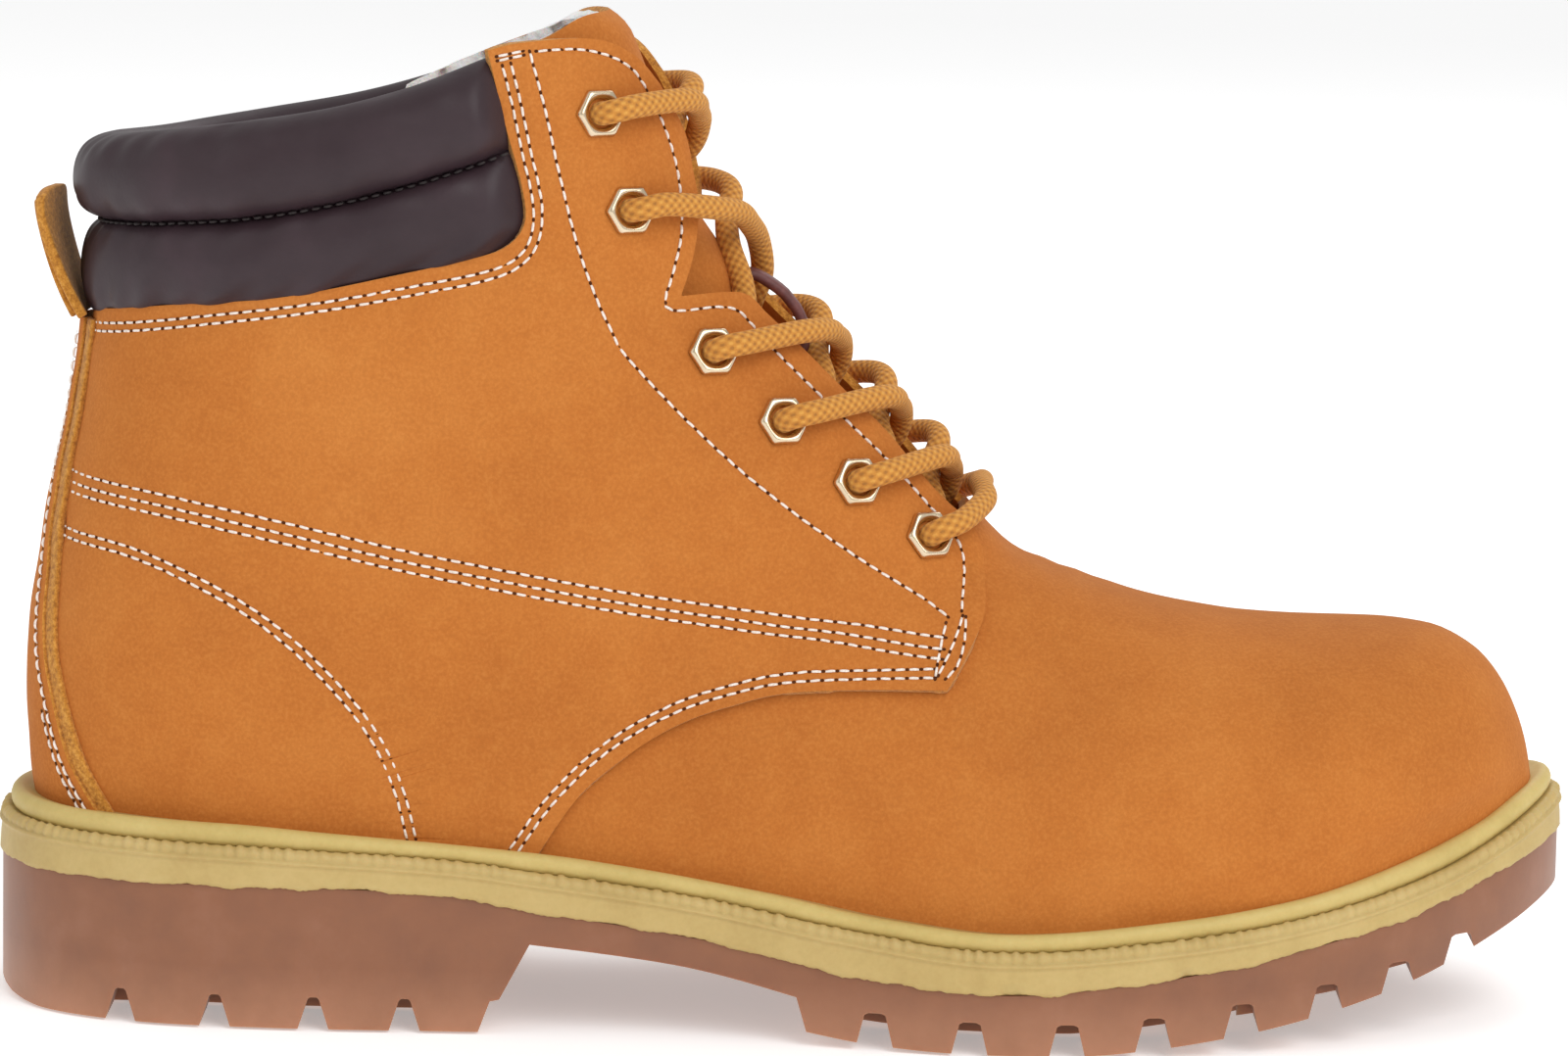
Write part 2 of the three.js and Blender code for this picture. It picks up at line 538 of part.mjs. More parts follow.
function eyeletHoles(side) {
  const drill = (i) => solidOf(alongNormal(new THREE.CylinderGeometry(EYELET.barrelRadius + GAP,
    EYELET.barrelRadius + GAP, 14, 8), eyeletPlace(i, side), 0));
  return EYELETS.map((_, i) => drill(i)).reduce((all, one) => all.add(one));
}

function makeEyelet(index, side) {
  const place = eyeletPlace(index, side);
  const corner = EYELET.acrossFlats / Math.sqrt(3);
  const rimBase = QUARTER_OUT + 0.4;
  const barrelEnd = UNDER_IN - 0.3;
  const length = rimBase + 0.2 - barrelEnd;
  const rim = new THREE.CylinderGeometry(corner - 0.8, corner, EYELET.rimHeight, 6);
  const barrel = new THREE.CylinderGeometry(EYELET.barrelRadius, EYELET.barrelRadius, length, 10);
  const bore = new THREE.CylinderGeometry(EYELET.boreRadius, EYELET.boreRadius, 20, 10);
  return solidOf(alongNormal(rim, place, rimBase + EYELET.rimHeight / 2))
    .add(solidOf(alongNormal(barrel, place, barrelEnd + length / 2)))
    .subtract(solidOf(alongNormal(bore, place, 0)));
}

const vampOutline = runs([VAMP_WING, [[35, 120], [170, 120]], [[170, 120], [170, 0]], [[170, 0], [-66, 15]]]).reverse();
add("vamp", underSkin.intersect(prismY(vampOutline, -90, 90)), nubuck());

const backerOutline = runs([EYESTAY_LINE, [[26, 85], [24.5, 99.5]], LOWER_FLANGE.slice(0, 4).reverse().map(([x, z]) => [x - 1.5, z - 1.5]),
  [[-7.8, 134.7], [-12, 138.7]], [[-12, 138.7], [-23.5, 138.7]],
  FLANGE_EDGE.slice().reverse().map(([x, z]) => [x - 1.5, z - 1]),
  [[-29.2, 178.9], [-34, 184]], [[-34, 184], [-41, 187.6]], [[-41, 187.6], [-53, 189.5]]], 16);
Object.entries(SIDES).forEach(([name, side]) => {
  const holes = eyeletHoles(side);
  add(`quarter_${name}`, quarterSkin.intersect(halfPrism(quarterOutline, side)).subtract(holes), nubuck());
  add(`eyestay_backer_${name}`, underSkin.intersect(halfPrism(backerOutline, side)).subtract(holes), nubuck());
});

const counterOutline = runs([COUNTER_LINE, [[-68, 25], [-160, 25]], [[-160, 25], [-160, 93]]]).reverse();
add("heel_counter", underSkin.intersect(prismY(counterOutline, -90, 90)), board());

const puffBox = prismY([[96, 0], [170, 0], [170, 120], [90, 120]].map(([a, b]) => new THREE.Vector2(a, b)), -90, 90);
add("toe_puff", shell(INSULATION_OUT - TOE_PUFF_THICKNESS, INSULATION_OUT).intersect(overSole).intersect(puffBox), board());

const backstayWidths = BACKSTAY_HALF_WIDTHS.map(([z, w]) => new THREE.Vector2(-w, z));
const backstayOutline = [...backstayWidths, ...backstayWidths.map((p) => new THREE.Vector2(-p.x, p.y)).reverse()];
add("backstay", shell(BACKSTAY_IN, BACKSTAY_OUT).intersect(overSole).intersect(prismX(backstayOutline, -200, -100)), nubuck());

// The tab bends with the heel, leans away from the collar toward its top, and curls back at its top corners.
function makeTab() {
  const rows = 4;
  const columns = 4;
  const points = [];
  const place = (row, column, face) => {
    const rise = row / rows;
    const z = TAB.bottom + (TAB.top - TAB.bottom) * rise;
    const y = TAB.halfWidth * (1 - 0.12 * rise * rise) * (column / columns * 2 - 1);
    const back = sectionValue[3](sectionAtBackHeight(z)) - BACKSTAY_OUT + LEATHER;
    const lean = TAB.lean * rise * (2 - rise);
    const round = y * y * (1 / 58 - rise / 22);
    return new THREE.Vector3(back - lean + round - face * TAB.thickness, y, z);
  };
  for (let face = 0; face <= 1; face += 1) {
    for (let row = 0; row <= rows; row += 1) {
      for (let column = 0; column <= columns; column += 1) points.push(place(row, column, face));
    }
  }
  const width = columns + 1;
  const shift = (rows + 1) * width;
  const triangles = [];
  const quad = (a, b, c, d) => triangles.push(a, b, c, a, c, d);
  for (let row = 0; row < rows; row += 1) {
    for (let column = 0; column < columns; column += 1) {
      const a = row * width + column;
      quad(a, a + 1, a + width + 1, a + width);
      quad(shift + a, shift + a + width, shift + a + width + 1, shift + a + 1);
    }
    const left = row * width;
    const right = left + columns;
    quad(left, left + width, shift + left + width, shift + left);
    quad(right, shift + right, shift + right + width, right + width);
  }
  const top = rows * width;
  for (let column = 0; column < columns; column += 1) {
    quad(column, shift + column, shift + column + 1, column + 1);
    quad(top + column, top + column + 1, shift + top + column + 1, shift + top + column);
  }
  return meshFromTriangles(points, triangles);
}

function sectionAtBackHeight(z) {
  let low = 0;
  let high = 9;
  for (let i = 0; i < 30; i += 1) {
    const middle = (low + high) / 2;
    if (sectionValue[4](middle) > z) low = middle;
    else high = middle;
  }
  return (low + high) / 2;
}

add("pull_tab", makeTab(), nubuck());

// ---------------------------------------------------------------- padded collar
// s of the point at (t, side) whose height is z.
function sectionAtHeight(t, z) {
  let low = 0;
  let high = 9;
  for (let i = 0; i < 30; i += 1) {
    const middle = (low + high) / 2;
    if (surfacePoint(middle, t, -1).z > z) low = middle;
    else high = middle;
  }
  return (low + high) / 2;
}

// A padded roll between two side lines: `profile` gives its section as (rise 0..1, offset) pairs.
function makeRoll(lowLine, highLine, lowLift, highLift, profile, frontX) {
  const low = smoothLine(lowLine);
  const high = smoothLine(highLine);
  const steps = 9;
  const stations = [];
  const frontT = findOnSide(frontX, (low(frontX) + high(frontX)) / 2).t;
  for (let i = -steps; i <= steps; i += 1) {
    stations.push({ side: i < 0 ? -1 : 1, t: 1 - (1 - frontT) * Math.abs(i) / steps });
  }
  const points = [];
  stations.forEach(({ side, t }) => {
    profile.forEach(([rise, offset]) => {
      const level = (x) => low(x) + lowLift + (high(x) + highLift - low(x) - lowLift) * rise;
      let s = 2;
      for (let i = 0; i < 6; i += 1) s = sectionAtHeight(t, level(surfacePoint(s, t, side).x));
      const end = Math.min(1, (t - frontT) / 0.08 + 0.55);
      const shrunk = offset > 0 ? offset * end : offset;
      const p = offsetPoint(s, t, side, shrunk);
      if (t > 0.9999) p.y = 0;
      points.push(p);
    });
  });
  const n = profile.length;
  const triangles = [];
  for (let i = 0; i < stations.length - 1; i += 1) {
    for (let j = 0; j < n; j += 1) {
      const a = i * n + j;
      const b = i * n + ((j + 1) % n);
      triangles.push(a, b, b + n, a, b + n, a + n);
    }
  }
  const last = (stations.length - 1) * n;
  for (let j = 1; j < n - 1; j += 1) {
    triangles.push(0, j + 1, j);
    triangles.push(last, last + j, last + j + 1);
  }
  return meshFromTriangles(points, triangles);
}

const UPPER_ROLL = [[0, 2.8], [0.15, 5.4], [0.45, 6.6], [0.8, 5.2], [1, 1.6], [1, -3], [0.75, -6.6], [0.4, -7], [0, -5]];
const LOWER_ROLL = [[0, 2], [0.2, 4], [0.5, 4.8], [0.85, 4.2], [1, 2.6], [1, -5], [0.5, -5.1], [0, -5]];
const ROLL_FRONT = -63;
add("collar_upper_roll", makeRoll(COLLAR_SEAM, COLLAR_TOP, GAP, 0, UPPER_ROLL, ROLL_FRONT), darkLeather());
add("collar_lower_roll", makeRoll(COLLAR_SEAT, COLLAR_SEAM, 1.1, 0, LOWER_ROLL, ROLL_FRONT), darkLeather());

// ---------------------------------------------------------------- bootie: insulation and fleece
function below(line, lift) {
  const height = smoothLine(line);
  const points = [];
  for (let x = -165; x <= 165; x += 10) points.push(new THREE.Vector2(x, height(x) + lift));
  points.push(new THREE.Vector2(165, -60), new THREE.Vector2(-165, -60));
  return prismY(points.reverse(), -90, 90);
}

const tonguePlan = prismY(runs([TONGUE_BACK, [[30, 73], [40, 98]], [[40, 98], [60, 230]], [[60, 230], [-78, 230]],
  [[-78, 230], [-78, 172]]]), -90, 90);
const bootieCut = prismY(runs([TONGUE_BACK.map(([x, z]) => [x - 0.8, z - 0.8]), [[29.2, 72.2], [31.2, 72.2]],
  [[31.2, 72.2], [41.4, 97.4]], [[41.4, 97.4], [70, 230]], [[70, 230], [-78.8, 230]], [[-78.8, 230], [-78.8, 171.2]]]),
-90, 90);
add("insulation", shell(INSULATION_IN, INSULATION_OUT).intersect(overSole).intersect(below(COLLAR_SEAT, -0.5))
  .subtract(bootieCut).subtract(puffBox), material(0xd8d2c4, 1));
add("fleece_lining", shell(FLEECE_IN, FLEECE_OUT).intersect(overSole).intersect(below(COLLAR_SEAM, 0))
  .subtract(bootieCut), whitePile());

// ---------------------------------------------------------------- tongue
const crown = (row, t) => TONGUE_OUT + (TONGUE_CROWN - TONGUE_OUT) * Math.max(0, 1 - (t / 0.17) ** 2);
const tongueTopTrim = below(TONGUE_TOP_LINE, 0);
const tongueSkin = shell((row, t) => crown(row, t) - TONGUE_THICKNESS, crown).intersect(tonguePlan).intersect(tongueTopTrim);
const tonguePile = shell((row, t) => crown(row, t) - TONGUE_THICKNESS - GAP - TONGUE_FLEECE,
  (row, t) => crown(row, t) - TONGUE_THICKNESS - GAP).intersect(tonguePlan).intersect(tongueTopTrim);
const { x: hingeX, z: hingeZ } = TONGUE_HINGE;
const topRegion = (lift) => prismY([[hingeX + 20, hingeZ - 6 + lift], [hingeX + 20, 230], [-62, 230], [-62, hingeZ + 5.5 + lift],
  [hingeX - 5, hingeZ + lift]].map(([a, b]) => new THREE.Vector2(a, b)), -90, 90);
const splitGap = 0.6;
add("tongue", tongueSkin.subtract(topRegion(-splitGap)), nubuck());
add("tongue_top", tongueSkin.intersect(topRegion(0)), nubuck());
add("tongue_fleece", tonguePile.subtract(topRegion(-splitGap)), whitePile());
add("tongue_top_fleece", tonguePile.intersect(topRegion(0)), whitePile());

// ---------------------------------------------------------------- eyelets, lace keeper and lace
Object.entries(SIDES).forEach(([name, side]) => {
  EYELETS.forEach((_, i) => add(`eyelet_${name}_${i + 1}`, makeEyelet(i, side), metal()));
});

// Half the opening between the two eyestays, at each section.
const flangeSpread = smoothLine([...FLANGE_EDGE.slice(1, 4), ...LOWER_FLANGE]
  .map(([x, z]) => findOnSide(x, z)).map(({ s, t }) => [s, -surfacePoint(s, t, -1).y]));
const eyeletSection = (i) => eyeletPlace(i, -1).s;

// The leather loop in the middle of the tongue, between the second and third eyelets.
function makeKeeper() {
  const from = eyeletSection(1) + 0.5 * (eyeletSection(2) - eyeletSection(1));
  const to = eyeletSection(2) - 0.02;
  const rise = [-6.2, -3.4, -0.9, 0.6, 1, 0, -2.4, -6.2];
  const at = (share, offset) => {
    const p = ridgePoint(from + (to - from) * share, 0.5, offset);
    return new THREE.Vector2(p.x, p.z);
  };
  const outer = rise.map((offset, i) => at(i / (rise.length - 1), offset));
  const inner = rise.map((offset, i) => at(0.09 + 0.82 * i / (rise.length - 1), offset - (i % 7 ? 1.3 : 0)));
  return prismY([...outer, ...inner.reverse()].reverse(), -2.6, 3.4);
}

add("lace_keeper", makeKeeper(), material(0x6b3b38, 0.7));

// Each row is one point of a strand from an eyelet to the next one on the other side:
// share of the way down | place across, in flange half openings from the start side | height over the surface.
const OVER_STRAND = [
  [0.1, 1, 4.9], [0.17, 0.62, 3.5], [0.25, 0.24, 1.9], [0.37, -0.2, 1.2], [0.56, -0.56, -1], [0.7, -0.84, -4.7],
  [0.83, -1.12, -5.9],
];
const UNDER_STRAND = [
  [0.05, 1, 5], [0.1, 0.62, 2.6], [0.18, 0.28, -1.8], [0.3, -0.12, -4], [0.5, -0.5, -4.7], [0.68, -0.86, -5.3],
  [0.82, -1.12, -5.6],
];
const TAIL = [[-42.8, 169.5], [-42.8, 161], [-40.5, 152], [-36.5, 143], [-31, 134.5], [-23, 126], [-13, 117.5], [-4, 110]];

// Gives a point beside an eyelet: so far toward another place, and so far out of the surface.
function aroundEyelet(index, side, toward) {
  const { point, normal } = eyeletPlace(index, side);
  const heading = toward.clone().sub(point);
  heading.addScaledVector(normal, -heading.dot(normal)).normalize();
  return (shift, offset) => point.clone().addScaledVector(heading, shift).addScaledVector(normal, offset);
}

function towardRidge(index, side) {
  const { s, t } = eyeletPlace(index, side);
  return aroundEyelet(index, side, surfacePoint(s, t - 0.02, side));
}

function eyeletExit(index, side) {
  const at = towardRidge(index, side);
  return [at(0, 3.4), at(0.73, 5.2), at(2.5, 6), at(5.4, 5.8)];
}

function eyeletEntry(at) {
  return [at(2.5, -5.7), at(0.75, -4.9), at(0, -2.8), at(0, 0)];
}

function strand(index, side) {
  const start = eyeletSection(index);
  const gap = eyeletSection(index + 1) - start;
  const rows = side < 0 ? OVER_STRAND : UNDER_STRAND;
  const across = rows.map(([share, place, offset]) => {
    const s = start + gap * share;
    return ridgePoint(s, side * place * flangeSpread(s), offset);
  });
  return [...eyeletExit(index, side), ...across, ...eyeletEntry(towardRidge(index + 1, -side))];
}

function halfLace(side) {
  const points = TAIL.slice().reverse().map(([x, z]) => sidePoint(x, z, side, -5.3));
  points.push(...eyeletEntry(aroundEyelet(0, side, points[points.length - 1])));
  for (let i = 0; i < EYELETS.length - 1; i += 1) points.push(...strand(i, i % 2 ? -side : side));
  return points;
}

// The straight bar over the lowest pair of eyelets joins the two halves.
function laceRoute() {
  const one = halfLace(-1);
  const other = halfLace(1);
  const last = EYELETS.length - 1;
  const s = eyeletSection(last);
  const rows = [[-0.1, 1, 5.1], [-0.3, 0.5, 4], [-0.36, 0, 3.5], [-0.3, -0.5, 4], [-0.1, -1, 5.1]];
  const bar = rows.map(([shift, place, offset]) => ridgePoint(s + shift, place * flangeSpread(s), offset));
  return [...one, ...eyeletExit(last, 1), ...bar, ...eyeletExit(last, -1).reverse(), ...other.reverse()];
}

// One step of the tube runs between each two points of the route.
class Route extends THREE.CatmullRomCurve3 {
  getUtoTmapping(u) {
    return u;
  }
}

function disc(radius, sides) {
  const points = [];
  for (let i = 0; i < sides; i += 1) {
    const angle = (2 * Math.PI * i) / sides;
    points.push(new THREE.Vector2(radius * Math.cos(angle), radius * Math.sin(angle)));
  }
  return new THREE.Shape(points);
}

const route = laceRoute();
const laceCurve = new Route(route, false, "centripetal");
add("lace", new THREE.ExtrudeGeometry(disc(LACE_DIAMETER / 2, LACE_SIDES), {
  extrudePath: laceCurve, steps: route.length - 1, bevelEnabled: false,
}), laceYarn());

// The tipped end of the lace, tucked in beside the tongue.
function makeAglet(side) {
  const end = sidePoint(...TAIL[TAIL.length - 1], side, -5);
  const along = sidePoint(7, 101, side, -5.6).sub(end).normalize();
  const geometry = new THREE.CylinderGeometry(AGLET.radius, AGLET.radius, AGLET.length, 8);
  geometry.applyQuaternion(new THREE.Quaternion().setFromUnitVectors(new THREE.Vector3(0, 1, 0), along));
  const at = end.addScaledVector(along, AGLET.length / 2 + 0.6);
  return geometry.translate(at.x, at.y, at.z);
}

add("aglet_lateral", makeAglet(-1), material(0x3a2c22, 0.4));
add("aglet_medial", makeAglet(1), material(0x3a2c22, 0.4));

export default boot;
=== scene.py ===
"""Insulated lace-up boot for the right foot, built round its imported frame. Patterns are in millimetres."""

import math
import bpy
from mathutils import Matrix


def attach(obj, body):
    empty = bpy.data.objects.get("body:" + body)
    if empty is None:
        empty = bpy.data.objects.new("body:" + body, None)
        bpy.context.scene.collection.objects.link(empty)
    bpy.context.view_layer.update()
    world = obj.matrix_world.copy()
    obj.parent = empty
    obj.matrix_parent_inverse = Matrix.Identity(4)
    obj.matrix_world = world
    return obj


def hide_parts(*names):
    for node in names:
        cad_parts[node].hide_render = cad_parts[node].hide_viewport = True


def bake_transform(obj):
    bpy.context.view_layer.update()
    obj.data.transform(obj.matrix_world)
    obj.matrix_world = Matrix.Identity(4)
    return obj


bl_info = {
    "name": "Insulated lace-up boot",
    "version": (1, 0, 0),
    "blender": (4, 5, 0),
    "location": "View3D > Sidebar > Boot",
    "description": "Builds the visible leather, fleece, sole, stitching and lace of an insulated boot",
    "category": "Object",
}

import bpy
import numpy as np
from mathutils import Matrix, Vector, kdtree
from mathutils.geometry import delaunay_2d_cdt

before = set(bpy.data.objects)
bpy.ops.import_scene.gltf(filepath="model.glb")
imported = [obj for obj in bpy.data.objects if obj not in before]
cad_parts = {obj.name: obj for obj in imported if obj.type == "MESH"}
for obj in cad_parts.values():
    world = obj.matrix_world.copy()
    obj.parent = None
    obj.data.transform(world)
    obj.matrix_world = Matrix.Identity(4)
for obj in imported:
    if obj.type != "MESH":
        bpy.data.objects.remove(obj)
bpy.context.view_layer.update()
MM = 0.001

# Leather layers, as heights over the shaping surface.
LEATHER = 1.8
QUARTER_OUT = 1.8
UNDER_OUT = -0.3
TONGUE_OUT = -8.8
TONGUE_CROWN = -8.0

# The shaping surface: a fan of sections from the shaft round the instep to the toe. Each row holds
# ridge x, z, y | end x, z, y | half width at the widest, at the end | place of the widest | roundness.
SECTIONS = np.array([
    [-36, 209, 0, -133, 186, 0, 36, 0, 0.52, 2.2, 2.1],
    [-28.5, 194, 0, -133, 168, 0, 36, 0, 0.52, 2.25, 2.1],
    [-20.5, 173.5, 0, -133, 150, 0, 35.2, 0, 0.53, 2.3, 2.1],
    [-11, 153.5, 0.5, -134.5, 133, 0, 34.6, 0, 0.55, 2.35, 2.1],
    [0.5, 137, 1, -137, 115, 0, 35, 0, 0.58, 2.4, 2.2],
    [10.5, 126.5, 1.5, -140, 101, 0, 35.5, 0, 0.6, 2.5, 2.3],
    [20, 116, 2, -142.8, 84, 0, 35.8, 0, 0.62, 2.65, 2.4],
    [27.5, 107.5, 2.5, -144.8, 65, 0, 35.8, 0, 0.64, 2.8, 2.5],
    [33.5, 100.5, 3, -144.2, 47, 0, 35.4, 0, 0.65, 2.9, 2.5],
    [38, 95.3, 3.2, -141.5, 33, 0, 35, 0, 0.65, 3, 2.5],
    [40.8, 92.4, 3.3, -139.5, 25, 0, 35, 2, 0.65, 3, 2.5],
    [43.5, 89.9, 3.5, -132, 23, -0.5, 35, 20, 0.64, 3, 2.3],
    [48.5, 87.3, 3.5, -108, 21.5, -1, 35.2, 31, 0.62, 3, 2.1],
    [55, 85, 4, -74, 18.5, -1.5, 35.6, 33, 0.6, 2.95, 2],
    [63, 82.4, 4, -38, 12.5, -2, 37.5, 34, 0.6, 2.8, 2],
    [71, 80, 4, -6, 6.5, -2.5, 41, 38, 0.61, 2.6, 2],
    [80, 78, 4.2, 24, 2.5, -2, 46, 43.5, 0.63, 2.45, 2],
    [91, 76.5, 4.5, 51, 1, 0, 49.5, 47.5, 0.65, 2.3, 2],
    [103, 76.1, 5, 76, 3.5, 2, 49.5, 47.5, 0.65, 2.2, 2],
    [116, 76, 5.5, 98, 8, 4, 46.5, 44.5, 0.65, 2.2, 2],
    [127, 75, 6, 116, 13, 5.5, 40, 38, 0.65, 2.2, 2],
    [136.2, 70.8, 6.3, 130, 18, 6.3, 31, 29, 0.64, 2.1, 2],
    [142.8, 62.5, 6.5, 139.5, 22, 6.5, 20.5, 19, 0.62, 2, 2],
    [146.6, 52, 6.5, 145, 26, 6.5, 11, 10, 0.58, 2, 2],
    [148.4, 41, 6.5, 147.8, 31, 6.5, 2.5, 2, 0.5, 2, 2],
])
LAST = len(SECTIONS) - 1
TOE_FADE = 17

# Pattern lines on the side of the boot (x, z), and the edge of the sole in plan (x, y).
SOLE_OUTLINE = [
    (-153.8, 0), (-150.5, -16.5), (-141, -30), (-123, -39.5), (-97, -43.2), (-65, -43.6), (-35, -43.8),
    (-8, -46.5), (18, -52.5), (42, -56.7), (66, -56), (90, -50.5), (112, -40.5), (131, -26.5),
    (146, -10), (153.8, 9), (150, 26), (139, 40.5), (121, 51), (98, 56.3), (72, 57), (46, 53), (18, 45),
    (-8, 40.5), (-35, 39.6), (-65, 40.6), (-97, 41.6), (-123, 38), (-141, 28.5), (-150.5, 15.5),
]
OUTSOLE_TOP = [
    (-170, 27.4), (-87, 27.2), (-62, 26), (-48, 23.5), (-18, 19.4), (18, 13.2), (41, 11.4), (67, 13.7),
    (93, 17.9), (119, 23.4), (138, 29.4), (170, 40),
]
WELT_SEAT = [
    (-170, 35.7), (-128, 34.9), (-87, 33.6), (-62, 32.2), (-48, 30.4), (-18, 26.6), (11, 21.9),
    (41, 18.9), (75, 21.3), (101, 24.7), (128, 31), (145, 37.8), (170, 50),
]
WELT_TOP = [
    (-170, 40.3), (-107, 38.9), (-88, 37.6), (-48, 34.4), (-26, 31.6), (-4, 28.2), (18, 24.6),
    (41, 22.7), (75, 25.3), (101, 28.7), (119, 33.1), (138, 39.3), (146, 43), (170, 52),
]
COLLAR_SEAT = [
    (-150, 132), (-137, 133.7), (-117.9, 137.3), (-97.2, 139.9), (-77, 144.4), (-63.9, 147.4),
]
COLLAR_CORNER = [
    (-63.9, 147.4), (-55.5, 150), (-51.5, 154.7), (-52.1, 161.9), (-55.2, 172.9), (-58.9, 187.4),
]
FLANGE_TOP = [
    (-58.9, 187.4), (-52.7, 188.8), (-39.9, 189.2), (-32.5, 185.8), (-27.7, 179.9),
]
FLANGE_EDGE = [
    (-27.7, 179.9), (-22.9, 170.6), (-20.9, 163.1), (-19.5, 156.5), (-20, 148), (-22, 140.3),
]
NOTCH_STEP = [
    (-22, 140.3), (-11.1, 140.2), (-6.3, 136.2),
]
LOWER_FLANGE = [
    (-6.3, 136.2), (8.1, 122.2), (17.7, 112.9), (27.3, 101.6), (34, 95.3),
]
FLANGE_FOOT = [
    (34, 95.3), (36.8, 89.6), (37.8, 79.4), (34.1, 70.9), (31, 65.5),
]
QUARTER_SWEEP = [
    (31, 65.5), (3.4, 65.2), (-10.5, 62.3), (-21.4, 58.2), (-31.2, 51.9), (-40.5, 43.3), (-52, 25),
]
VAMP_WING = [
    (-66, 15), (-57, 40), (-43, 56), (-22, 67), (2, 74), (20, 79), (31, 86), (35, 99), (35, 120),
]
COLLAR_SEAM = [
    (-150, 150), (-138, 151.4), (-122, 152.6), (-100, 155.4), (-80, 159.8), (-66, 164), (-52, 169.5),
]
COLLAR_TOP = [
    (-150, 165.5), (-139, 166.8), (-129, 168.9), (-104.7, 172.8), (-89, 175.6), (-74, 179.7),
    (-58, 186),
]
TONGUE_BACK = [
    (-78, 172), (-72, 158), (-58, 140), (-38, 121), (-16, 103), (6, 88), (30, 73),
]
TONGUE_TOP_LINE = [
    (-78, 176), (-60, 184), (-45, 190.5), (-36, 195.5), (-26, 197.5), (-10, 198),
]
EYELETS = [
    (-38.2, 175.2), (-32.1, 156.8), (-15.6, 129.6), (-2, 116.3), (12.4, 104.5), (26.5, 93.7),
]
BACKSTAY_HALF_WIDTHS = [
    (131.2, 9.2), (115, 10), (95, 13.2), (75, 17.5), (55, 22), (25, 28.5),
]

# Rows of stitching on the side of the upper (x, z), each with its parallel copies' shifts.
STITCH_ROWS = {
    "collar_border": ([
        (-140, 130.6), (-136.3, 131.1), (-111.3, 135.6), (-90.9, 138.9), (-70.8, 142.9), (-59.5, 145.3),
        (-53.6, 147.6),
        (-50.6, 151.2), (-49.8, 156.5), (-50.6, 162), (-52, 167.6), (-54.1, 177), (-56.1, 184.6),
    ], (0, 1.6)),
    "eyestay_curve": ([
        (-51.2, 187.2), (-48.1, 176.2), (-45.5, 165.3), (-41.8, 151.3), (-38.1, 141.2), (-35, 134.6),
        (-31.4, 128.7),
        (-18.1, 115), (-4.8, 103.4), (11.3, 91.6), (22.2, 84.5), (30.8, 78.6),
    ], (0,)),
    "flange_border": ([
        (-50, 187.2), (-42.8, 187.4), (-36.9, 186), (-32.6, 183.2), (-29.9, 179.2), (-27.2, 173.8),
        (-24.4, 166.4),
        (-22.9, 159.5), (-22.4, 151.7), (-23.6, 144.7), (-24.8, 139.9), (-23.9, 137.9), (-21, 137.6),
        (-15.2, 137.9),
        (-11.4, 137), (-8.6, 134.2), (-4.4, 129.5), (4.4, 121), (17.9, 108.3), (27.3, 98), (32.2, 92),
        (33.6, 86),
        (33.4, 79.6),
    ], (0,)),
    "side_triple": ([
        (-141, 103.2), (-137.3, 102.8), (-118.2, 100.8), (-95.8, 96.8), (-68.2, 90.9), (-30.7, 84.2),
        (-4.4, 80.2),
        (22.3, 76.1), (30.4, 75),
    ], (0, 2.1, 3.9)),
    "counter_curve": ([
        (-140.5, 92.2), (-138.2, 92), (-123.7, 89.9), (-107.4, 83.2), (-94.9, 74.9), (-84.3, 64.4),
        (-77.3, 54.9),
        (-72.9, 44.9), (-70.5, 36),
    ], (0, 1.7)),
    "quarter_foot": ([
        (-52.5, 31), (-51, 33.6), (-44, 43.6), (-34.6, 52.8), (-23.4, 59.8), (-12.3, 64), (2.5, 67),
        (28.6, 67.8),
    ], (0, -1.6)),
    "block_front": ([(34.2, 78.6), (34, 74), (32.8, 70), (30.6, 67.6)], (0,)),
    "block_back": ([(30.4, 77.6), (29.4, 73), (28.6, 67.6)], (0,)),
    "block_slant": ([(33.6, 78.8), (31.8, 73.6), (29.2, 68.2)], (0,)),
    "top_tack": ([(-57.2, 186.3), (-52.4, 187.3)], (0, 0.8)),
}

# The lace. Each row is one point of a strand from an eyelet to the next one on the other side: share of
# the way down | place across, in half openings between the eyestays | height over the surface.
OVER_STRAND = [
    (0.1, 1, 4.9), (0.17, 0.62, 3.5), (0.25, 0.24, 1.9), (0.37, -0.2, 1.2), (0.56, -0.56, -1),
    (0.7, -0.84, -4.7),
    (0.83, -1.12, -5.9),
]
UNDER_STRAND = [
    (0.05, 1, 5), (0.1, 0.62, 2.6), (0.18, 0.28, -1.8), (0.3, -0.12, -4), (0.5, -0.5, -4.7),
    (0.68, -0.86, -5.3),
    (0.82, -1.12, -5.6),
]
# The straight bar over the lowest eyelets: sections up from them | place across | height over the surface.
LACE_BAR = [(-0.1, 1, 5.1), (-0.3, 0.5, 4), (-0.36, 0, 3.5), (-0.3, -0.5, 4), (-0.1, -1, 5.1)]
# Beside an eyelet: distance toward the next point | height over the surface.
EYELET_EXIT = [(0, 3.4), (0.73, 5.2), (2.5, 6), (5.4, 5.8)]
EYELET_ENTRY = [(2.5, -5.7), (0.75, -4.9), (0, -2.8), (0, 0)]
# The tucked tail, from the top eyelet down beside the tongue, x and z, and its depth under the surface.
LACE_TAIL = [
    (-42.8, 169.5), (-42.8, 161), (-40.5, 152), (-36.5, 143), (-31, 134.5), (-23, 126), (-13, 117.5),
    (-4, 110),
]
TAIL_DEPTH = 5.3


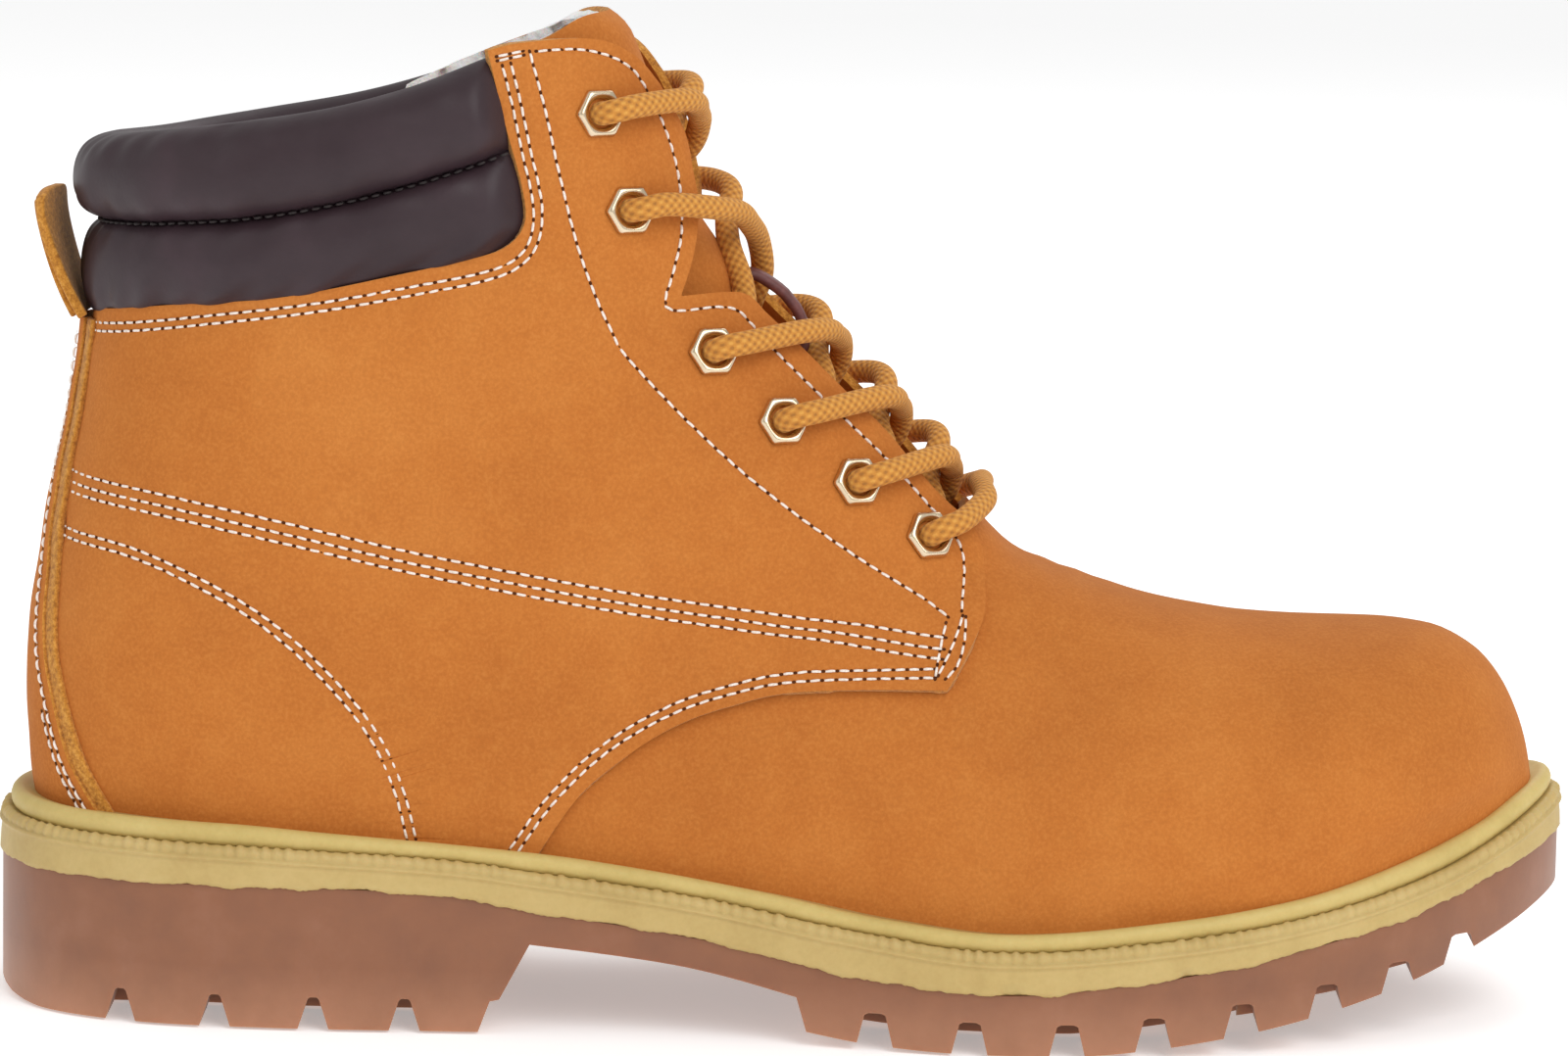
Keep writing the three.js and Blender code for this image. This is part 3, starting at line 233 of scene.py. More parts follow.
# ------------------------------------------------------------------ curves and the shaping surface
def smooth_line(points):
    """Shape-preserving cubic through (x, y) pairs, as a function of an array."""
    x, y = np.array(points, float).T
    step = np.diff(y) / np.diff(x)
    total = np.where(step[:-1] * step[1:] > 0, step[:-1] + step[1:], 1)
    middle = np.where(step[:-1] * step[1:] > 0, 2 * step[:-1] * step[1:] / total, 0)
    slope = np.concatenate([step[:1], middle, step[-1:]])

    def at(value):
        value = np.asarray(value, float)
        i = np.clip(np.searchsorted(x, value) - 1, 0, len(x) - 2)
        width = x[i + 1] - x[i]
        t = np.clip((value - x[i]) / width, 0, 1)
        return (
            (2 * t**3 - 3 * t**2 + 1) * y[i] + (t**3 - 2 * t**2 + t) * width * slope[i]
            + (3 * t**2 - 2 * t**3) * y[i + 1] + (t**3 - t**2) * width * slope[i + 1]
        )

    return at


COLUMNS = [smooth_line([(i, row[k]) for i, row in enumerate(SECTIONS)]) for k in range(11)]


def surface(s, t, side):
    """Points of the shaping surface: t runs 0 at the ridge, 0.5 at the widest, 1 at the end."""
    s, t, side = np.broadcast_arrays(np.asarray(s, float), np.asarray(t, float), np.asarray(side, float))
    fx, fz, fy, ex, ez, ey, half, end_half, widest, front, back = [column(s) for column in COLUMNS]
    near = np.minimum(t, 0.5) * math.pi
    far = np.maximum(t - 0.5, 0) * math.pi
    along = np.where(
        t <= 0.5, widest * (1 - np.abs(np.cos(near)) ** (2 / front)),
        widest + (1 - widest) * np.sin(far) ** (2 / back)
    )
    width = np.where(
        t <= 0.5, half * np.sin(near) ** (2 / front),
        end_half + (half - end_half) * np.maximum(np.cos(far), 0) ** (2 / back),
    )
    return np.stack([fx + (ex - fx) * along, fy + (ey - fy) * along + side * width, fz + (ez - fz) * along],
                    -1)


def normals(s, t, side):
    s, t, side = np.broadcast_arrays(np.asarray(s, float), np.asarray(t, float), np.asarray(side, float))
    s0, s1 = np.clip(s - 0.02, 0, LAST), np.clip(s + 0.02, 0, LAST)
    t0, t1 = np.clip(t - 0.004, 0, 1), np.clip(t + 0.004, 0, 1)
    along = surface(s1, t, side) - surface(s0, t, side)
    across = surface(s, t1, side) - surface(s, t0, side)
    ends = (t < 0.004) | ((t > 0.996) & (COLUMNS[7](s) < 1))
    level = np.zeros_like(across)
    level[..., 1] = np.where(t < 0.5, side, -side)
    across = np.where(ends[..., None], level, across)
    found = np.cross(along, across) * side[..., None]
    return found / np.maximum(np.linalg.norm(found, axis=-1, keepdims=True), 1e-9)


def offset_surface(s, t, side, offset):
    fade = np.where(np.asarray(offset) < 0, np.minimum(1, COLUMNS[6](s) / TOE_FADE), 1)
    return surface(s, t, side) + normals(s, t, side) * (offset * fade)[..., None]


def settle(points):
    """The inner side of the collar and the quarter's corner stand a little lower than the outer side."""
    x, y, z = points[..., 0], points[..., 1], points[..., 2]

    def ease(v):
        v = np.clip(v, 0, 1)
        return v * v * (3 - 2 * v)

    corner = np.exp(-(((x + 52) / 8) ** 2))
    drop = (2.2 + 3.4 * corner) * ease((-36 - x) / 12) * ease((z - 138) / 42) * ease(y / 24)
    return points - np.stack([np.zeros_like(drop), np.zeros_like(drop), drop], -1)


def find_on_side(x, z):
    """s and t of the surface points seen at x, z from the side."""
    x, z = np.asarray(x, float), np.asarray(z, float)

    def across(s):
        fx, fz, _, ex, ez = [column(s) for column in COLUMNS[:5]]
        return (ex - fx) * (z - fz) - (ez - fz) * (x - fx)

    low, high = np.zeros_like(x), np.full_like(x, LAST)
    sign = np.sign(across(low))
    for _ in range(40):
        middle = (low + high) / 2
        same = np.sign(across(middle)) == sign
        low, high = np.where(same, middle, low), np.where(same, high, middle)
    s = (low + high) / 2
    fx, fz, _, ex, ez, _, _, _, widest, front, back = [column(s) for column in COLUMNS]
    along = np.clip(((x - fx) * (ex - fx) + (z - fz) * (ez - fz)) / ((ex - fx) ** 2 + (ez - fz) ** 2), 0, 1)
    near = np.arccos(np.clip(1 - along / widest, 0, 1) ** (front / 2)) / math.pi
    far = 0.5 + np.arcsin(np.clip((along - widest) / (1 - widest), 0, 1) ** (back / 2)) / math.pi
    return s, np.where(along <= widest, near, far)


def spaced(points, spacing):
    """A smooth line through the points, as points so far apart."""
    p = np.array(points, float)
    if len(p) > 2:
        padded = np.vstack([p[:1], p, p[-1:]])
        t = np.linspace(0, 1, 25)[:-1, None]
        parts = []
        for a, b, c, d in zip(padded, padded[1:], padded[2:], padded[3:]):
            parts.append(0.5 * (2 * b + (c - a) * t + (2 * a - 5 * b + 4 * c - d) * t**2
                                + (3 * b - a - 3 * c + d) * t**3))
        p = np.vstack(parts + [p[-1:]])
    length = np.concatenate([[0], np.cumsum(np.linalg.norm(np.diff(p, axis=0), axis=1))])
    at = np.linspace(0, length[-1], max(2, int(round(length[-1] / spacing)) + 1))
    return np.stack([np.interp(at, length, p[:, k]) for k in range(p.shape[1])], -1)


def joined(groups, spacing):
    """Smooth runs joined at their corners."""
    points = []
    for group in groups:
        run = spaced(group, spacing)
        points.append(run if not points else run[1:])
    return np.vstack(points)


def shifted(points, distance):
    """A line moved sideways, to the right of its direction."""
    along = np.gradient(points, axis=0)
    along /= np.linalg.norm(along, axis=1, keepdims=True)
    return points + np.stack([along[:, 1], -along[:, 0]], -1) * distance


def ridge_point(s, y, offset):
    """The point at a distance y from the ridge, at so much height over the surface."""
    share = min(1.0, abs(y) / COLUMNS[6](s))
    t = np.arcsin(share ** (COLUMNS[9](s) / 2)) / math.pi
    return offset_surface(s, t, -1.0 if y < 0 else 1.0, np.array(offset))


def beside_eyelet(index, side, rows, toward=None):
    """Points beside an eyelet, toward the ridge unless another place is given."""
    s, t = find_on_side(*EYELETS[index])
    point, normal = surface(s, t, side), normals(s, t, side)
    heading = (surface(s, t - 0.02, side) if toward is None else toward) - point
    heading = heading - normal * heading.dot(normal)
    heading /= np.linalg.norm(heading)
    return [point + heading * shift + normal * height for shift, height in rows]


def lace_route():
    """Middle line of the lace, from one tucked end through the eyelets to the other."""
    edge = [find_on_side(x, z) for x, z in FLANGE_EDGE[1:4] + LOWER_FLANGE]
    opening = smooth_line([(float(s), -float(surface(s, t, -1.0)[1])) for s, t in edge])
    sections = [float(find_on_side(x, z)[0]) for x, z in EYELETS]
    last = len(EYELETS) - 1

    def strand(index, side):
        gap = sections[index + 1] - sections[index]
        points = beside_eyelet(index, side, EYELET_EXIT)
        for share, place, height in OVER_STRAND if side < 0 else UNDER_STRAND:
            s = sections[index] + gap * share
            points.append(ridge_point(s, side * place * opening(s), height))
        return points + beside_eyelet(index + 1, -side, EYELET_ENTRY)

    def half(side):
        points = [offset_surface(*find_on_side(x, z), side, np.array(-TAIL_DEPTH)) for x,
                  z in LACE_TAIL[::-1]]
        points += beside_eyelet(0, side, EYELET_ENTRY, points[-1])
        for index in range(last):
            points += strand(index, -side if index % 2 else side)
        return points

    bar = [ridge_point(sections[last] + up, place * opening(sections[last]), height) for up, place,
           height in LACE_BAR]
    across = beside_eyelet(last, 1.0, EYELET_EXIT) + bar + beside_eyelet(last, -1.0, EYELET_EXIT)[::-1]
    return np.array(half(-1.0) + across + half(1.0)[::-1])


def sole_bottom(s):
    """t where the upper dips just under the top of the midsole."""
    s = np.asarray(s, float)
    seat = smooth_line(WELT_SEAT)
    low, high = np.full_like(s, 0.5), np.ones_like(s)
    for _ in range(30):
        middle = (low + high) / 2
        p = surface(s, middle, -1)
        over = p[..., 2] > seat(p[..., 0]) - 1.5
        low, high = np.where(over, middle, low), np.where(over, high, middle)
    return high


# ------------------------------------------------------------------ meshes
def new_object(name, points, faces, materials=(), smooth=True):
    mesh = bpy.data.meshes.new(name)
    mesh.from_pydata((np.asarray(points, float) * MM).tolist(), [], [tuple(int(i) for i in f) for f in faces])
    mesh.update()
    obj = bpy.data.objects.new(name, mesh)
    bpy.context.scene.collection.objects.link(obj)
    for material in materials:
        mesh.materials.append(material)
    mesh.polygons.foreach_set("use_smooth", [smooth] * len(mesh.polygons))
    return obj


def only(obj):
    """Makes obj the only selected and the active object."""
    if bpy.context.object and bpy.context.object.mode != "OBJECT":
        bpy.ops.object.mode_set(mode="OBJECT")
    bpy.ops.object.select_all(action="DESELECT")
    obj.select_set(True)
    bpy.context.view_layer.objects.active = obj
    return obj


def modify(obj, kind, **settings):
    """Adds a modifier and applies it."""
    only(obj)
    modifier = obj.modifiers.new(kind.title(), kind)
    for key, value in settings.items():
        setattr(modifier, key, value)
    bpy.ops.object.modifier_apply(modifier=modifier.name)
    return obj


def inside(points, outline):
    """True for the points inside a closed outline."""
    x, y = points[:, 0][:, None], points[:, 1][:, None]
    a, b = outline, np.roll(outline, -1, axis=0)
    crosses = (a[:, 1] > y) != (b[:, 1] > y)
    with np.errstate(divide="ignore", invalid="ignore"):
        where = (b[:, 0] - a[:, 0]) * (y - a[:, 1]) / (b[:, 1] - a[:, 1]) + a[:, 0]
    return (crosses & (x < where)).sum(axis=1) % 2 == 1


S_SCALE, U_SCALE = 9.0, 112.0


def skin(name, outline, offset, materials, step=1.9, extra=(), settled=False):
    """A skin over the shaping surface inside an outline of (s, u), where u is t on the medial side and -t on the other.
    offset is a height, or a function of points, s and u that gives one; extra points resolve a furrow."""
    scale = np.array([S_SCALE, U_SCALE])
    edge = np.array(outline, float) * scale
    keep = np.linalg.norm(edge - np.roll(edge, 1, axis=0), axis=1) > 0.05
    edge = edge[keep]
    low, high = edge.min(0), edge.max(0)
    gx, gy = np.meshgrid(np.arange(low[0], high[0], step), np.arange(low[1], high[1], step), indexing="ij")
    gx = gx + (np.arange(gx.shape[1]) % 2) * step / 2
    grid = np.stack([gx.ravel(), gy.ravel()], -1)
    grid = grid[inside(grid, edge)]
    tree = kdtree.KDTree(len(edge))
    for i, point in enumerate(edge):
        tree.insert((point[0], point[1], 0), i)
    tree.balance()
    extra = np.array(extra, float).reshape(-1, 2) * scale
    extra = extra[inside(extra, edge)] if len(extra) else extra
    near = kdtree.KDTree(len(edge) + len(extra))
    for i, point in enumerate(edge):
        near.insert((point[0], point[1], 0), i)
    kept = []
    taken = set()
    for point in extra:
        cell = tuple(np.round(point / 0.62).astype(int))
        if cell not in taken and tree.find((point[0], point[1], 0))[2] > 0.5:
            taken.add(cell)
            kept.append(point)
            near.insert((point[0], point[1], 0), len(kept))
    near.balance()
    grid = kept + [p for p in grid if near.find((p[0], p[1], 0))[2] > 0.5 * step]
    coords = [Vector(p) for p in edge] + [Vector(p) for p in grid]
    loop = list(range(len(edge)))
    vertices, _, faces, _, _, _ = delaunay_2d_cdt(coords, [], [loop], 1, 1e-5)
    flat = np.array([(v.x, v.y) for v in vertices]) / scale
    s, u = np.clip(flat[:, 0], 0, LAST), flat[:, 1]
    t, side = np.clip(np.abs(u), 0, 1), np.where(u < 0, -1.0, 1.0)
    height = offset(surface(s, t, side), s, u) if callable(offset) else np.full(len(s), float(offset))
    points = offset_surface(s, t, side, height)
    if settled:
        points = settle(points)
    triangles = np.array([tuple(f) for f in faces])
    a, b, c = [points[triangles[:, k]] for k in range(3)]
    outward = (np.cross(b - a, c - a) * normals(s, t, side)[triangles[:, 0]]).sum()
    if outward < 0:
        triangles = triangles[:, ::-1]
    return new_object(name, points, triangles, materials)


def leather(obj, thickness, edge, both=False):
    """Gives a skin its thickness inward, and a soft cut edge in the skin's second material."""
    modify(obj, "SOLIDIFY", thickness=thickness * MM, offset=-1, use_rim=True, material_offset_rim=1)
    modify(obj, "BEVEL", width=edge * MM, segments=2, limit_method="ANGLE", angle_limit=math.radians(55),
           material=1)
    obj.data.polygons.foreach_set("use_smooth", [True] * len(obj.data.polygons))
    return obj


def show(obj, body, slot, *nodes):
    """Puts a finished piece on its body and hides the solids that it stands for; slot, the finish, is not used."""
    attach(obj, body)
    if nodes:
        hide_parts(*nodes)
    return obj


# ------------------------------------------------------------------ colours and materials
def linear(code, alpha=1.0):
    """An sRGB hex colour as linear values."""
    parts = [int(code[i:i + 2], 16) / 255 for i in (1, 3, 5)]
    return tuple(v / 12.92 if v <= 0.04045 else ((v + 0.055) / 1.055) ** 2.4 for v in parts) + (alpha,)


def node(tree, kind, links=(), **settings):
    """Adds a node: settings are its properties, links pairs of an input with a value or another node's output."""
    made = tree.nodes.new(kind)
    for key, value in settings.items():
        setattr(made, key, value)
    for key, value in links:
        if isinstance(value, bpy.types.NodeSocket):
            tree.links.new(value, made.inputs[key])
        else:
            made.inputs[key].default_value = value
    return made


def material(name, **shader):
    """A new material and its Principled shader, with the shader's own constants set."""
    made = bpy.data.materials.new(name)
    made.use_nodes = True
    principled = made.node_tree.nodes["Principled BSDF"]
    for key, value in shader.items():
        principled.inputs[key.replace("_", " ")].default_value = value
    return made, made.node_tree, principled


def noise(tree, coords, size_mm, detail=3.0, rough=0.55, stretch=None):
    """Noise with features of a real size."""
    if stretch:
        coords = node(tree, "ShaderNodeMapping", [("Vector", coords), ("Scale", stretch)]).outputs["Vector"]
    return node(tree, "ShaderNodeTexNoise", [("Vector", coords), ("Scale", 1000 / size_mm),
                                             ("Detail", detail),
                                             ("Roughness", rough)]).outputs["Fac"]


def ramp(tree, value, *stops):
    """Colours, or grey levels, along a value."""
    made = node(tree, "ShaderNodeValToRGB", [("Fac", value)])
    elements = made.color_ramp.elements
    while len(elements) < len(stops):
        elements.new(0.5)
    for element, (place, colour) in zip(elements, stops):
        element.position = place
        element.color = linear(colour) if isinstance(colour, str) else (colour, colour, colour, 1)
    return made.outputs["Color"]


def mix(tree, factor, a, b, blend="MIX"):
    made = node(tree, "ShaderNodeMix", [("Factor", factor)], data_type="RGBA", blend_type=blend)
    for key, value in ((6, a), (7, b)):
        if isinstance(value, bpy.types.NodeSocket):
            tree.links.new(value, made.inputs[key])
        else:
            made.inputs[key].default_value = linear(value) if isinstance(value, str) else value
    return made.outputs[2]


def bump(tree, height, depth_mm, strength=1.0, under=None):
    links = [("Height", height), ("Distance", depth_mm * MM), ("Strength", strength)]
    if under:
        links.append(("Normal", under))
    return node(tree, "ShaderNodeBump", links).outputs["Normal"]


def maths(tree, operation, *values):
    return node(tree, "ShaderNodeMath", list(enumerate(values)), operation=operation).outputs["Value"]


def object_coords(tree):
    return node(tree, "ShaderNodeTexCoord").outputs["Object"]


def nubuck(name="wheat nubuck, buffed", base="#BC702F", light="#C57B38", dark="#B1672A"):
    """Buffed grain leather: a matt, faintly cloudy ground with a fine short nap that catches light at grazing angles.
    The nap's grain is drawn at 0.7 mm, about twice its real size, so that it still shows at a distance."""
    made, tree, shader = material(name, Roughness=0.88, Sheen_Weight=0.1, Sheen_Roughness=0.45,
                                  Specular_IOR_Level=0.2)
    shader.inputs["Sheen Tint"].default_value = linear("#F2B377")
    coords = object_coords(tree)
    cloudy = ramp(tree, noise(tree, coords, 45, 3, 0.55), (0.3, dark), (0.52, base), (0.74, light))
    brushed = noise(tree, coords, 6, 4, 0.65)
    fine = noise(tree, coords, 0.7, 2, 0.6)
    colour = mix(tree, 0.1, cloudy, ramp(tree, brushed, (0.36, "#A85C24"), (0.5, base), (0.66, "#D08C44")))
    colour = mix(tree, 0.13, colour, ramp(tree, fine, (0.34, "#7C3F16"), (0.52, base), (0.68, "#DE9C56")))
    tree.links.new(colour, shader.inputs["Base Color"])
    nap = bump(tree, noise(tree, coords, 0.7, 3, 0.7), 0.09, 0.5)
    tree.links.new(bump(tree, noise(tree, coords, 9, 3, 0.5), 0.28, 0.5, nap), shader.inputs["Normal"])
    return made


def raw_suede():
    """The cut edge and split back of the leather: loose golden fibres, much rougher than the face."""
    made, tree, shader = material("split suede, cut edge", Roughness=1.0, Sheen_Weight=0.12,
                                  Sheen_Roughness=0.6)
    coords = object_coords(tree)
    fibre = noise(tree, coords, 0.9, 4, 0.75)
    colour = ramp(tree, fibre, (0.3, "#8F5614"), (0.5, "#BF7E26"), (0.72, "#E0A44A"))
    tree.links.new(colour, shader.inputs["Base Color"])
    tree.links.new(bump(tree, fibre, 0.35, 0.9), shader.inputs["Normal"])
    return made


def collar_leather():
    """Soft coated sheepskin, dark brown: smooth, with a broad soft shine and shallow pores."""
    made, tree, shader = material("padded collar leather, dark brown", Roughness=0.42,
                                  Specular_IOR_Level=0.32,
                                  Coat_Weight=0.04, Coat_Roughness=0.35)
    coords = object_coords(tree)
    colour = ramp(tree, noise(tree, coords, 22, 4, 0.6), (0.3, "#2C1D22"), (0.55, "#34252A"),
                  (0.75, "#3C2B31"))
    tree.links.new(colour, shader.inputs["Base Color"])
    pores = node(tree, "ShaderNodeTexVoronoi", [("Vector", coords),
                                                ("Scale", 1000 / 0.9)]).outputs["Distance"]
    fine = bump(tree, pores, 0.05, 0.35)
    tree.links.new(bump(tree, noise(tree, coords, 3.2, 3, 0.5), 0.14, 0.35, fine), shader.inputs["Normal"])
    tree.links.new(ramp(tree, noise(tree, coords, 14, 3), (0.3, 0.44), (0.7, 0.56)),
                   shader.inputs["Roughness"])
    return made


def cream_rubber(name, base, light, dark):
    """Pale moulded rubber for the welt and midsole: satin, a little dusty, with faint casting marks."""
    made, tree, shader = material(name, Roughness=0.55, Specular_IOR_Level=0.4, Subsurface_Weight=0.06,
                                  Subsurface_Scale=0.002)
    coords = object_coords(tree)
    colour = ramp(tree, noise(tree, coords, 16, 5, 0.65), (0.28, dark), (0.52, base), (0.76, light))
    speck = noise(tree, coords, 1.3, 3, 0.6)
    colour = mix(tree, 0.2, colour, ramp(tree, speck, (0.35, dark), (0.5, base), (0.65, light)))
    tree.links.new(colour, shader.inputs["Base Color"])
    fine = bump(tree, speck, 0.06, 0.5)
    tree.links.new(bump(tree, noise(tree, coords, 7, 3, 0.5, (1, 1, 3)), 0.2, 0.4, fine),
                   shader.inputs["Normal"])
    return made


def gum_rubber():
    """Translucent crepe gum: brown higher up, with a painted glow below: paler and warmer in the lowest 12 mm, standing
    in for light through the thin lower edges of the lugs.
    """
    made, tree, shader = material("gum rubber, moulded", Roughness=0.42, Specular_IOR_Level=0.45,
                                  Subsurface_Weight=0.25, Subsurface_Scale=0.004)
    shader.inputs["Subsurface Radius"].default_value = (1.0, 0.5, 0.3)
    coords = object_coords(tree)
    height = node(tree, "ShaderNodeSeparateXYZ", [("Vector", coords)]).outputs["Z"]
    # painted glow mask: 0 at the floor, 1 at 12 mm up, so the lug edges take the paler tone
    low = node(tree, "ShaderNodeMapRange", [("Value", height), ("From Min", 0.0),
                                            ("From Max", 0.012)]).outputs["Result"]
    cloud = noise(tree, coords, 12, 4, 0.6)
    body = ramp(tree, cloud, (0.3, "#84563D"), (0.55, "#8D5C40"), (0.78, "#95644A"))
    painted_glow = ramp(tree, cloud, (0.3, "#A27052"), (0.7, "#B07C5E"))
    tree.links.new(mix(tree, low, painted_glow, body), shader.inputs["Base Color"])
    fine = bump(tree, noise(tree, coords, 0.9, 3, 0.6), 0.05, 0.5)
    tree.links.new(bump(tree, noise(tree, coords, 11, 2, 0.5), 0.25, 0.35, fine), shader.inputs["Normal"])
    return made


def champagne_metal():
    """Nickel-gold plated brass: bright, with faint polishing haze."""
    made, tree, shader = material("plated brass, champagne", Metallic=1.0, Roughness=0.24)
    coords = object_coords(tree)
    haze = noise(tree, coords, 4, 2, 0.5)
    tree.links.new(ramp(tree, haze, (0.3, "#D3BF9F"), (0.6, "#DDCAAD"), (0.8, "#E6D7BE")),
                   shader.inputs["Base Color"])
    tree.links.new(ramp(tree, haze, (0.3, 0.22), (0.7, 0.27)), shader.inputs["Roughness"])
    return made


def thread():
    """Waxed polyester sewing thread, cream: drawn thick enough to show, with its twist as fine ridges."""
    made, tree, shader = material("waxed thread, cream", Roughness=0.7, Sheen_Weight=0.3)
    coords = object_coords(tree)
    twist = noise(tree, coords, 0.5, 2, 0.6)
    tree.links.new(ramp(tree, twist, (0.3, "#D9CBBB"), (0.6, "#F3EAE2")), shader.inputs["Base Color"])
    tree.links.new(bump(tree, twist, 0.12, 0.7), shader.inputs["Normal"])
    return made


def painted_hole_shade():
    """Painted shade: the dark colour of a disc laid at the end of each stitch, standing in for the shadow in the
    pricked hole.
    """
    made, tree, shader = material("needle hole", Roughness=1.0, Specular_IOR_Level=0.0)
    coords = object_coords(tree)
    tree.links.new(ramp(tree, noise(tree, coords, 2), (0.3, "#3E2114"), (0.7, "#5A3320")),
                   shader.inputs["Base Color"])
    return made


def braided_yarn():
    """Tubular braid of spun polyester: plump crossing strands about 1.8 mm wide, each of fine twisted yarn. Its colour
    carries painted shade, darker in the grooves between strands and lighter on their crowns.
    """
    made, tree, shader = material("braided lace yarn, golden", Roughness=0.88, Sheen_Weight=0.15,
                                  Sheen_Roughness=0.5)
    shader.inputs["Sheen Tint"].default_value = linear("#FFD99A")
    uv = node(tree, "ShaderNodeUVMap", uv_map="braid").outputs["UV"]
    parts = node(tree, "ShaderNodeSeparateXYZ", [("Vector", uv)])
    along, around = parts.outputs["X"], parts.outputs["Y"]
    first = maths(tree, "COSINE", maths(tree, "MULTIPLY", maths(tree, "ADD", along, around), 2 * math.pi))
    second = maths(tree, "COSINE", maths(tree, "MULTIPLY", maths(tree, "SUBTRACT", along, around),
                                         2 * math.pi))
    cells = maths(tree, "MULTIPLY_ADD", maths(tree, "ADD", first, second), 0.25, 0.5)
    strands = node(tree, "ShaderNodeTexNoise", [("Vector", uv), ("Scale", 9.0),
                                                ("Detail", 3.0)]).outputs["Fac"]
    # painted shade: the braid's height pattern colours the grooves between strands dark and the crowns light
    colour = ramp(tree, cells, (0.05, "#9A6226"), (0.3, "#BF7C2E"), (0.6, "#CD8A36"), (0.95, "#DDA048"))
    colour = mix(tree, 0.2, colour, ramp(tree, strands, (0.35, "#A06422"), (0.65, "#DFA450")))
    tree.links.new(colour, shader.inputs["Base Color"])
    fine = bump(tree, strands, 0.12, 0.6)
    tree.links.new(bump(tree, cells, 0.35, 0.8, fine), shader.inputs["Normal"])
    return made


def fleece():
    """Curly wool-look pile, white: soft clumps 2 to 3 mm across that let light in."""
    made, tree, shader = material("pile fleece, white", Roughness=1.0, Sheen_Weight=0.6, Sheen_Roughness=0.6,
                                  Subsurface_Weight=0.3, Subsurface_Scale=0.003)
    coords = object_coords(tree)
    clumps = noise(tree, coords, 2.6, 5, 0.75)
    tree.links.new(ramp(tree, clumps, (0.25, "#C9C6C2"), (0.5, "#E9E7E4"), (0.7, "#F7F6F4")),
                   shader.inputs["Base Color"])
    tree.links.new(bump(tree, clumps, 0.9, 0.8), shader.inputs["Normal"])
    return made


def strap_leather():
    """Waxed red-brown strap leather."""
    made, tree, shader = material("strap leather, red-brown", Roughness=0.55)
    coords = object_coords(tree)
    colour = ramp(tree, noise(tree, coords, 3, 4, 0.6), (0.3, "#552B28"), (0.55, "#6B3B38"), (0.8, "#8A524C"))
    tree.links.new(colour, shader.inputs["Base Color"])
    tree.links.new(bump(tree, noise(tree, coords, 0.6, 3), 0.08, 0.6), shader.inputs["Normal"])
    return made


def plain(name, dark, light, rough, size_mm, depth_mm, metallic=0.0):
    """An inner part's finish: two close tones in grains of a real size."""
    made, tree, shader = material(name, Roughness=rough, Metallic=metallic)
    coords = object_coords(tree)
    grain = noise(tree, coords, size_mm, 4, 0.6)
    tree.links.new(ramp(tree, grain, (0.3, dark), (0.7, light)), shader.inputs["Base Color"])
    tree.links.new(bump(tree, grain, depth_mm, 0.6), shader.inputs["Normal"])
    return made


FINISHES = {}


def finish(key):
    """The boot's materials, made on first use."""
    makers = {
        "nubuck": nubuck,
        "suede": raw_suede,
        "collar": collar_leather,
        "welt": lambda: cream_rubber("welt rubber, cream", "#C8B06B", "#D0BA78", "#BCA45F"),
        "midsole": lambda: cream_rubber("midsole rubber, cream", "#BFA568", "#C8AF74", "#B3985C"),
        "gum": gum_rubber,
        "metal": champagne_metal,
        "thread": thread,
        "hole": painted_hole_shade,
        "collar_thread": lambda: plain("collar thread, black", "#17100F", "#2B2021", 0.7, 0.6, 0.1),
        "lace": braided_yarn,
        "fleece": fleece,
        "strap": strap_leather,
        "board": lambda: plain("pressed fibre board", "#9F8563", "#C4AA86", 0.95, 2.0, 0.1),
        "steel": lambda: plain("spring steel", "#8F8F8F", "#C4C4C4", 0.35, 1.2, 0.02, 1.0),
        "tip": lambda: plain("lace tip plastic", "#2C201A", "#453329", 0.45, 1.5, 0.03),
    }
    if key not in FINISHES:
        FINISHES[key] = makers[key]()
    return FINISHES[key]


# ------------------------------------------------------------------ shapes of the single pieces
BACKSTAY_IN, BACKSTAY_OUT = 2.1, 3.9
COLLAR_FRONT = [(-59, 187), (-55.4, 172.6), (-52.5, 161.2), (-51.8, 153.9), (-55.1, 149.2), (-60, 146)]
UPPER_ROLL = [
    (-0.03, -2), (0.02, 1.6), (0.08, 3.9), (0.18, 5.7), (0.32, 6.7), (0.5, 6.9), (0.68, 6.4), (0.83, 5.1),
    (0.93, 3.2),
    (1, 0.6), (1.02, -2), (0.98, -4.6), (0.88, -6.6), (0.7, -8), (0.5, -8.4), (0.3, -8.2), (0.12, -7),
    (0, -5),
]
LOWER_ROLL = [
    (-0.3, -1.6), (-0.12, -0.4), (0, 1.9), (0.1, 3.2), (0.25, 4.3), (0.45, 4.9), (0.65, 4.8), (0.82, 4),
    (0.94, 2.5),
    (1, 0.5), (1.02, -2.4), (0.8, -4.6), (0.4, -5.2), (0, -5), (-0.2, -4),
]
HEEL_TREAD = [(-156, 3.2), (-150, 0.8), (-144, 0), (-57.9, 0), (-55.7, 6), (-53.9, 6.4), (-48.2, 17.2)]
SHANK_UNDERSIDE = [(-48.2, 17.2), (-18.9, 13.8), (3, 9)]
FOREFOOT_TREAD = [
    (5, 2.4), (15, 1), (26, 0.2), (34, 0), (56, 0), (66, 0.8), (79, 2.3), (95, 4.8), (111.5, 8.4),
    (125.3, 12.4),
    (139, 17.8), (156, 25),
]
HEEL_NOTCHES = [-127, -108.5, -89.5, -72]
FOREFOOT_NOTCHES = [18, 36, 54.5, 71, 88, 104.5, 119, 131.8]
NOTCH_DEPTHS = [(-130, 6.2), (60, 6.2), (90, 6), (105, 5.6), (120, 4.8), (135, 4)]
LUG_DEPTH = 7.5
SIDE_LUG_WIDTH = 17
TREAD_CHANNEL = 4
TAB_BOTTOM, TAB_TOP, TAB_HALF_WIDTH, TAB_LEAN = 132.4, 157.6, 10.5, 7.4


